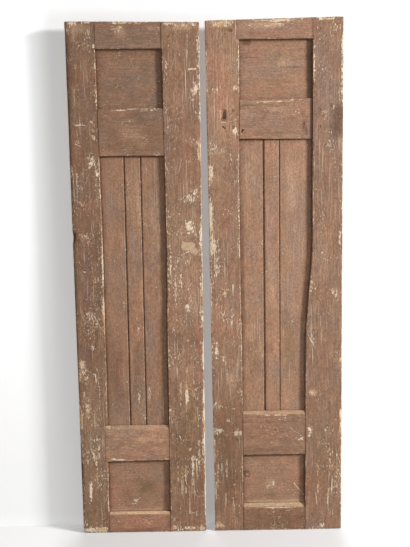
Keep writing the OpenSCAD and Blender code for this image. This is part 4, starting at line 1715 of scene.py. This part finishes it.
@dataclass
class Plank(Board):
    """One of the upright boards between the rails. Sizes are in mm."""

    seams: tuple[float, float] = (0.0, 0.0)
    tongue: int = 0
    cover: float = 2.0
    half_tongue: float = 2.6
    # The slow top pace widens the corner darkening below the rail above into a painted shadow; the fast
    # bottom pace keeps it thin.
    bottom_pace: float = 9.0
    top_pace: float = 0.8
    seam_pace: float = 2.0

    def blocks(self) -> list[Object]:
        """Cover the tongue, if the board has one.

        Returns:
            One block or none.
        """
        if self.tongue == 0:
            return []
        low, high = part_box(self.node)
        over, half = self.cover * MM, self.half_tongue * MM
        start, end = low.x - over, self.outline.left.max() + over
        if self.tongue > 0:
            start, end = self.outline.right.min() - over, high.x + over
        return [block("tongue", (start, -half, low.z - over), (end, half, high.z + over))]

    def nook(self, x: Array, z: Array) -> Array:
        """Measure from the frame's inner edges and into the seams; a seam of 0 is the frame's edge.

        Args:
            x: Places across, in metres.
            z: Heights, in metres.

        Returns:
            The distance from the nearest edge or seam in mm, by its pace.
        """
        left, right, bottom, top = self.outline.reach(x, z)
        near = np.minimum(((z - bottom) / MM - GROOVE_REACH) * self.bottom_pace,
                          ((top - z) / MM - GROOVE_REACH) * self.top_pace)
        for away, clean in zip((x - left, right - x), self.seams):
            seam = away / MM * self.seam_pace + clean
            near = np.minimum(near, away / MM - GROOVE_REACH if clean == 0 else seam)
        return np.maximum(near, 0)


PEG_TONE = Tone(value=1.0, scratches=0.0, grime=0.2)


@dataclass
class Pegs:
    """The pegs of one leaf, shrunk back a little below the frame. Sizes are in mm."""

    node: str
    seed: int
    sides: int = 24
    play: float = 0.1
    shrunk: Range = (0.5, 0.9)
    wobble: float = 0.03
    dome: tuple[Range, ...] = ((-0.1, 0.5), (0.0, 0.85), (0.3, 0.97), (1.0, 1.0))
    edge: float = 9.0
    nook: float = 12.0
    piece: Object | None = field(default=None, init=False)

    def build(self) -> None:
        """Make each peg as a slightly domed rod."""
        solid = welded(self.node)
        groups = self.islands(solid)
        rng = np.random.default_rng(self.seed)
        rods = [self.rod(np.array([v.co for v in group]), rng) for group in groups]
        solid.free()
        faces = []
        for number, (points, sides) in enumerate(rods):
            faces.extend([[n + number * len(points) for n in side] for side in sides])
        name = f"{self.node}_worn"
        self.piece = finished(name, mesh_of(name, np.concatenate([points for points, _ in rods]), faces))
        LOG.info("%s: %d pegs", self.piece.name, len(groups))

    @staticmethod
    def islands(solid: bmesh.types.BMesh) -> list[list[bmesh.types.BMVert]]:
        """Split a mesh into its separate rods.

        Args:
            solid: The welded mesh.

        Returns:
            The points of each rod, in order across and up.
        """
        left = set(solid.verts)
        found = []
        while left:
            queue = [left.pop()]
            group = []
            while queue:
                vert = queue.pop()
                group.append(vert)
                others = {edge.other_vert(vert) for edge in vert.link_edges} & left
                left -= others
                queue.extend(others)
            found.append(group)
        return sorted(found, key=lambda g: (min(v.co.x for v in g), min(v.co.z for v in g)))

    def rod(self, corners: Array, rng: np.random.Generator) -> tuple[Array, list[list[int]]]:
        """Make one worn peg.

        Args:
            corners: Points of the CAD peg.
            rng: Random numbers.

        Returns:
            Points and faces of the worn peg.
        """
        low, high = corners.min(0), corners.max(0)
        centre, radius = (low + high) / 2, (high[0] - low[0]) / 2 - self.play * MM
        short = rng.uniform(*self.shrunk, 2) * MM
        front, back = low[1] + short[0], high[1] - short[1]
        count = self.sides
        turns = np.linspace(0, 2 * math.pi, count, endpoint=False) + rng.uniform(0, 1)
        wobble = (1 + self.wobble * np.sin(2 * turns + rng.uniform(0, 6))) / (1 + self.wobble)
        rings = [(front + deep * MM, part) for deep, part in self.dome]
        rings += [(back - deep * MM, part) for deep, part in self.dome[::-1]]
        points = []
        for y, part in rings:
            out = radius * part * wobble
            points.append(np.stack([centre[0] + np.cos(turns) * out, np.full(count, y),
                                    centre[2] + np.sin(turns) * out], 1))
        faces = [list(range(count)), [len(rings) * count - 1 - n for n in range(count)]]
        for ring, n in itertools.product(range(len(rings) - 1), range(count)):
            a, b = ring * count + n, ring * count + (n + 1) % count
            faces.append([b, a, a + count, b + count])
        return np.concatenate(points), faces

    def dress(self, paint: Paint, effects: Effects) -> None:
        """Paint the end grain and give the pegs their place in the part.

        Args:
            paint: The paint of the doors.
            effects: The shared node groups.
        """
        mesh = self.piece.data
        grain = points_of(mesh)[:, [0, 2, 1]] + self.seed
        keep_fields(mesh, {"grain": grain, "edge": np.full(len(grain), self.edge),
                           "nook": np.full(len(grain), self.nook)})
        mesh.materials.append(Coat(f"{self.node}_paint", self.node, PEG_TONE, paint, effects).build())
        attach(self.piece, BODY)
        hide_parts(self.node)


class Side(Enum):
    """The two leaves; the value points from the hinge edge to the meeting edge."""

    LEFT = 1
    RIGHT = -1


STILE_NAMES = ("hinge_stile", "meeting_stile")
RAIL_NAMES = ("bottom_rail", "lower_rail", "upper_rail", "top_rail")
PANEL_NAMES = ("bottom_panel", "top_panel")
PLANK_NAMES = ("hinge_board", "middle_board", "meeting_board")
# Each board's noise has its own seed, counted on from its leaf's.
RAIL_SEED, PANEL_SEED, PLANK_SEED, PEG_SEED = 10, 20, 30, 40
PANEL_WEAR = Wear(arris=1.0, arris_more=1.0, wave=0.8, ripple=0.25, dent=0.5, nick=0.4)
PLANK_WEAR = Wear(arris=0.8, arris_more=0.9, wave=0.7, ripple=0.22, dent=0.4, nick=0.7)


@dataclass
class Leaf:
    """One leaf: its frame, panels, boards and pegs."""

    side: Side
    seed: int
    tones: dict[str, Tone]
    seams: tuple[float, float]
    handled: tuple[float, float]
    parts: list[Board | Pegs] = field(default_factory=list, init=False)

    def named(self, part: str) -> str:
        """Give the CAD node of one of the leaf's parts."""
        return f"{self.side.name.lower()}_{part}"

    def build(self) -> None:
        """Make every piece of the leaf."""
        self.parts = [*self.stiles(), *self.rails(), *self.panels(), *self.planks(),
                      Pegs(self.named("pegs"), self.seed + PEG_SEED)]
        for part in self.parts:
            part.build()

    def stiles(self) -> list[Board]:
        """Give the two uprights, which differ in how much they were handled.

        Returns:
            The hinge stile and the meeting stile.
        """
        rails = tuple(self.named(rail) for rail in RAIL_NAMES)
        made = []
        for number, (part, handled) in enumerate(zip(STILE_NAMES, self.handled)):
            inner = self.side.value if number == 0 else -self.side.value
            made.append(Stile(self.named(part), Way.UP, Slot.FRAME, self.seed + number, self.tones[part],
                              inner=inner, rails=rails, handled=handled))
        return made

    def rails(self) -> list[Board]:
        """Give the four rails from the bottom up."""
        first = self.seed + RAIL_SEED
        return [Rail(self.named(part), Way.ACROSS, Slot.FRAME, first + number, self.tones[part])
                for number, part in enumerate(RAIL_NAMES)]

    def panels(self) -> list[Board]:
        """Give the two flat panels."""
        first = self.seed + PANEL_SEED
        return [Panel(self.named(part), Way.ACROSS, Slot.PANEL, first + number, self.tones[part], PANEL_WEAR)
                for number, part in enumerate(PANEL_NAMES)]

    def planks(self) -> list[Board]:
        """Give the three boards of the middle field, each but the last with a tongue.

        Returns:
            The boards from the hinge side to the meeting side.
        """
        edges = (0.0, *self.seams, 0.0)
        toward = self.side.value
        made = []
        for number, part in enumerate(PLANK_NAMES):
            seams = edges[number:number + 2][::toward]
            tongue = toward if number < len(self.seams) else 0
            made.append(Plank(self.named(part), Way.UP, Slot.PANEL, self.seed + PLANK_SEED + number,
                              self.tones[part], PLANK_WEAR, seams=seams, tongue=tongue))
        return made

    def dress(self, paint: Paint, effects: Effects) -> None:
        """Paint every piece of the leaf.

        Args:
            paint: The paint of the doors.
            effects: The shared node groups.
        """
        for part in self.parts:
            part.dress(paint, effects)


@dataclass(frozen=True)
class Paper:
    """Pale paper of the stage, which glows a little where it is seen.

    Each change of the glow is two places in metres and what it adds at both.
    """

    name: str
    grey: float
    glow: float
    tint: Colour
    across: tuple[Range, ...]
    upward: tuple[Range, ...] = ()
    taper: Range | None = None
    one_sided: bool = False
    rough: float = 0.9

    def level(self, g: Graph) -> NodeSocket:
        """Give the glow over the paper.

        Args:
            g: The material's graph.

        Returns:
            The strength of the glow.
        """
        place = g.node("ShaderNodeNewGeometry").outputs["Position"]
        split = g.node("ShaderNodeSeparateXYZ", {0: place}).outputs
        sides = g.plus(*[g.remap(split["X"], *change) for change in self.across])
        if self.taper:
            sides = g.times(sides, g.remap(split["Z"], *self.taper))
        return g.plus(self.glow, sides, *[g.remap(split["Z"], *change) for change in self.upward])

    def material(self) -> Material:
        """Make the paper's material.

        Returns:
            The material.
        """
        made = bpy.data.materials.new(self.name)
        made.use_nodes = True
        g = Graph(made.node_tree)
        paper = made.node_tree.nodes["Principled BSDF"]
        paper.inputs["Base Color"].default_value = (self.grey, self.grey, self.grey, 1)
        paper.inputs["Roughness"].default_value = self.rough
        paper.inputs["Specular IOR Level"].default_value = 0.0
        seen = g.seen()
        glow = g.node("ShaderNodeEmission", {"Color": self.tint, "Strength": g.times(seen, self.level(g))})
        surface = g.node("ShaderNodeAddShader", {0: paper.outputs[0], 1: glow.outputs[0]}).outputs[0]
        if self.one_sided:
            behind = g.node("ShaderNodeNewGeometry").outputs["Backfacing"]
            shown = g.times(seen, g.math("SUBTRACT", 1.0, behind))
            clear = g.node("ShaderNodeBsdfTransparent").outputs[0]
            surface = g.node("ShaderNodeMixShader", {0: shown, 1: clear, 2: surface}).outputs[0]
        g.feed(made.node_tree.nodes["Material Output"].inputs["Surface"], surface)
        return made


@dataclass(frozen=True)
class Lamp:
    """A square soft light: its direction, distance and width in metres, power in watts and colour."""

    name: str
    toward: Triple
    far: float
    wide: float
    power: float
    tint: Triple = (1.0, 1.0, 1.0)

    def build(self, target: Vector) -> None:
        """Add the light, turned to the doors.

        Args:
            target: The middle of the doors.
        """
        lamp = bpy.data.lights.new(self.name, "AREA")
        lamp.size = self.wide
        lamp.energy = self.power
        lamp.color = self.tint
        made = new_object(self.name, lamp)
        toward = Vector(self.toward)
        made.location = target + toward.normalized() * self.far
        made.rotation_euler = toward.to_track_quat("Z", "Y").to_euler()


# The glow's changes across and upward are painted light: on the floor they brighten the paper left and right
# of the doors; on the backdrop they lighten the doors' shadow to the left, at the foot and above the top.
FLOOR_PAPER = Paper("floor_paper", grey=0.6, glow=0.14, tint=(1, 1, 1, 1),
                    across=((-0.45, -0.62, 0.0, 0.16), (0.42, 0.54, 0.0, 0.2)))
BACKDROP_PAPER = Paper("backdrop_paper", grey=0.7, glow=0.235, tint=(0.96, 1.0, 1.035, 1),
                       across=((-0.53, -0.63, 0.0, 0.3),),
                       upward=((0.06, 0.0, 0.0, 0.06), (1.84, 1.92, 0.0, 0.12)),
                       taper=(0.0, 1.8, 0.15, 1.0), one_sided=True)
LAMPS = (Lamp("key", toward=(2.35, -1.0, 0.85), far=5.0, wide=0.8, power=434),
         Lamp("fill", toward=(-1.4, -1.0, 0.35), far=4.0, wide=2.0, power=42, tint=(1.0, 0.9, 0.8)),
         Lamp("back", toward=(0.0, 2.4, 1.7), far=3.0, wide=2.4, power=55))


@dataclass
class Studio:
    """Pale floor and backdrop, soft lights and the camera. Sizes are in metres."""

    target: Vector = field(default_factory=lambda: Vector((0, 0, 0.92)))
    eye: Vector = field(default_factory=lambda: Vector((-0.010, -2.482, 1.245)))
    pitch: float = math.radians(6.59)
    yaw: float = math.radians(-0.02)
    roll: float = math.radians(-0.99)
    lens: float = 46.07
    sensor: float = 36
    floor_radius: float = 3.2
    floor_sides: int = 96
    floor_z: float = -0.001
    wall_y: float = 0.05
    wall_reach: float = 8.0
    sky: float = 0.16

    def build(self) -> None:
        """Make the floor, the backdrop, the lights, the world and the camera."""
        turns = np.linspace(0, 2 * math.pi, self.floor_sides, endpoint=False)
        far, y, foot = self.wall_reach, self.wall_y, self.floor_z
        rim = [(self.floor_radius * math.cos(t), self.floor_radius * math.sin(t), foot) for t in turns]
        wall = [(-far, y, foot), (far, y, foot), (far, y, far), (-far, y, far)]
        for name, corners, paper in (("floor", rim, FLOOR_PAPER), ("backdrop", wall, BACKDROP_PAPER)):
            stage = new_object(name, mesh_of(name, np.array(corners), [list(range(len(corners)))]))
            stage.data.materials.append(paper.material())
        for lamp in LAMPS:
            lamp.build(self.target)
        self.world()
        self.camera()
        bpy.context.scene.view_settings.view_transform = "Standard"
        LOG.info("studio ready")

    def world(self) -> None:
        """Light everything weakly from all round, and show white."""
        sky = bpy.data.worlds.new("studio")
        sky.use_nodes = True
        g = Graph(sky.node_tree)
        back = sky.node_tree.nodes["Background"]
        g.feed(back.inputs["Strength"], g.plus(self.sky, g.times(g.seen(), 1 - self.sky)))
        back.inputs["Color"].default_value = (1, 1, 1, 1)
        bpy.context.scene.world = sky

    def camera(self) -> None:
        """Set the camera where the photograph was taken from."""
        level = Vector((math.cos(self.yaw), -math.sin(self.yaw), 0))
        forward = Vector((math.sin(self.yaw), math.cos(self.yaw), 0))
        ahead = forward * math.cos(self.pitch) - Vector((0, 0, math.sin(self.pitch)))
        upright = level.cross(ahead)
        right = math.cos(self.roll) * level + math.sin(self.roll) * upright
        up = -math.sin(self.roll) * level + math.cos(self.roll) * upright
        data = bpy.data.cameras.new("camera")
        data.lens = self.lens
        data.sensor_width = self.sensor
        made = new_object("camera", data)
        turned = Matrix((right, up, -ahead)).transposed().to_4x4()
        made.matrix_world = Matrix.Translation(self.eye) @ turned
        bpy.context.scene.camera = made


RAIL_TONE = Tone(scratches=0.35, streak=0.7, strays=0.8)
PANEL_TONE = Tone(loss=0.2, streak=0.5, scratches=0.25)
PLANK_TONE = Tone(loss=0.4, scratches=0.6, streak=0.5)
LEFT_TONES = {
    "hinge_stile": Tone(value=0.82, warm=0.55, loss=0.8, grime=0.7, scratches=1.25, strays=1.15),
    "meeting_stile": Tone(value=0.99, warm=0.6, loss=0.95, scratches=1.2, rub=0.3, strays=1.15),
    "bottom_rail": replace(RAIL_TONE, value=1.16, warm=0.65),
    "lower_rail": replace(RAIL_TONE, value=1.25, rub=0.3),
    "upper_rail": replace(RAIL_TONE, value=0.9, warm=0.6),
    "top_rail": replace(RAIL_TONE, value=0.93, warm=0.25),
    "bottom_panel": replace(PANEL_TONE, value=1.14, warm=0.75),
    "top_panel": replace(PANEL_TONE, value=0.95, warm=0.4),
    "hinge_board": replace(PLANK_TONE, value=1.13),
    "middle_board": replace(PLANK_TONE, value=1.14, rub=0.3),
    "meeting_board": replace(PLANK_TONE, value=1.08),
}
RIGHT_TONES = {
    "hinge_stile": Tone(value=0.97, warm=0.4, loss=1.0, scratches=1.0, strays=1.0),
    "meeting_stile": Tone(value=1.09, warm=0.6, loss=0.8, scratches=1.2, strays=1.05),
    "bottom_rail": replace(RAIL_TONE, value=0.83, warm=0.85),
    "lower_rail": replace(RAIL_TONE, value=0.99, warm=0.7),
    "upper_rail": replace(RAIL_TONE, value=1.085, warm=0.4),
    "top_rail": replace(RAIL_TONE, value=1.155, warm=0.4),
    "bottom_panel": replace(PANEL_TONE, value=1.14, warm=0.7),
    "top_panel": replace(PANEL_TONE, value=1.17),
    **dict.fromkeys(PLANK_NAMES, replace(PLANK_TONE, value=1.24)),
}


def main() -> None:
    """Build and dress the doors, then light and frame them."""
    logging.basicConfig(level=logging.INFO, format="%(message)s")
    effects = Effects()
    paint = Paint()
    left = Leaf(Side.LEFT, seed=100, tones=LEFT_TONES, seams=(4.6, 6.6), handled=(9.5, 3.0))
    right = Leaf(Side.RIGHT, seed=200, tones=RIGHT_TONES, seams=(7.5, 4.0), handled=(2.0, 4.0))
    for leaf in (left, right):
        leaf.build()
        leaf.dress(paint, effects)
        LOG.info("%s leaf: %d pieces", leaf.side.name.lower(), len(leaf.parts))
    Studio().build()


if __name__ == "__main__":
    main()
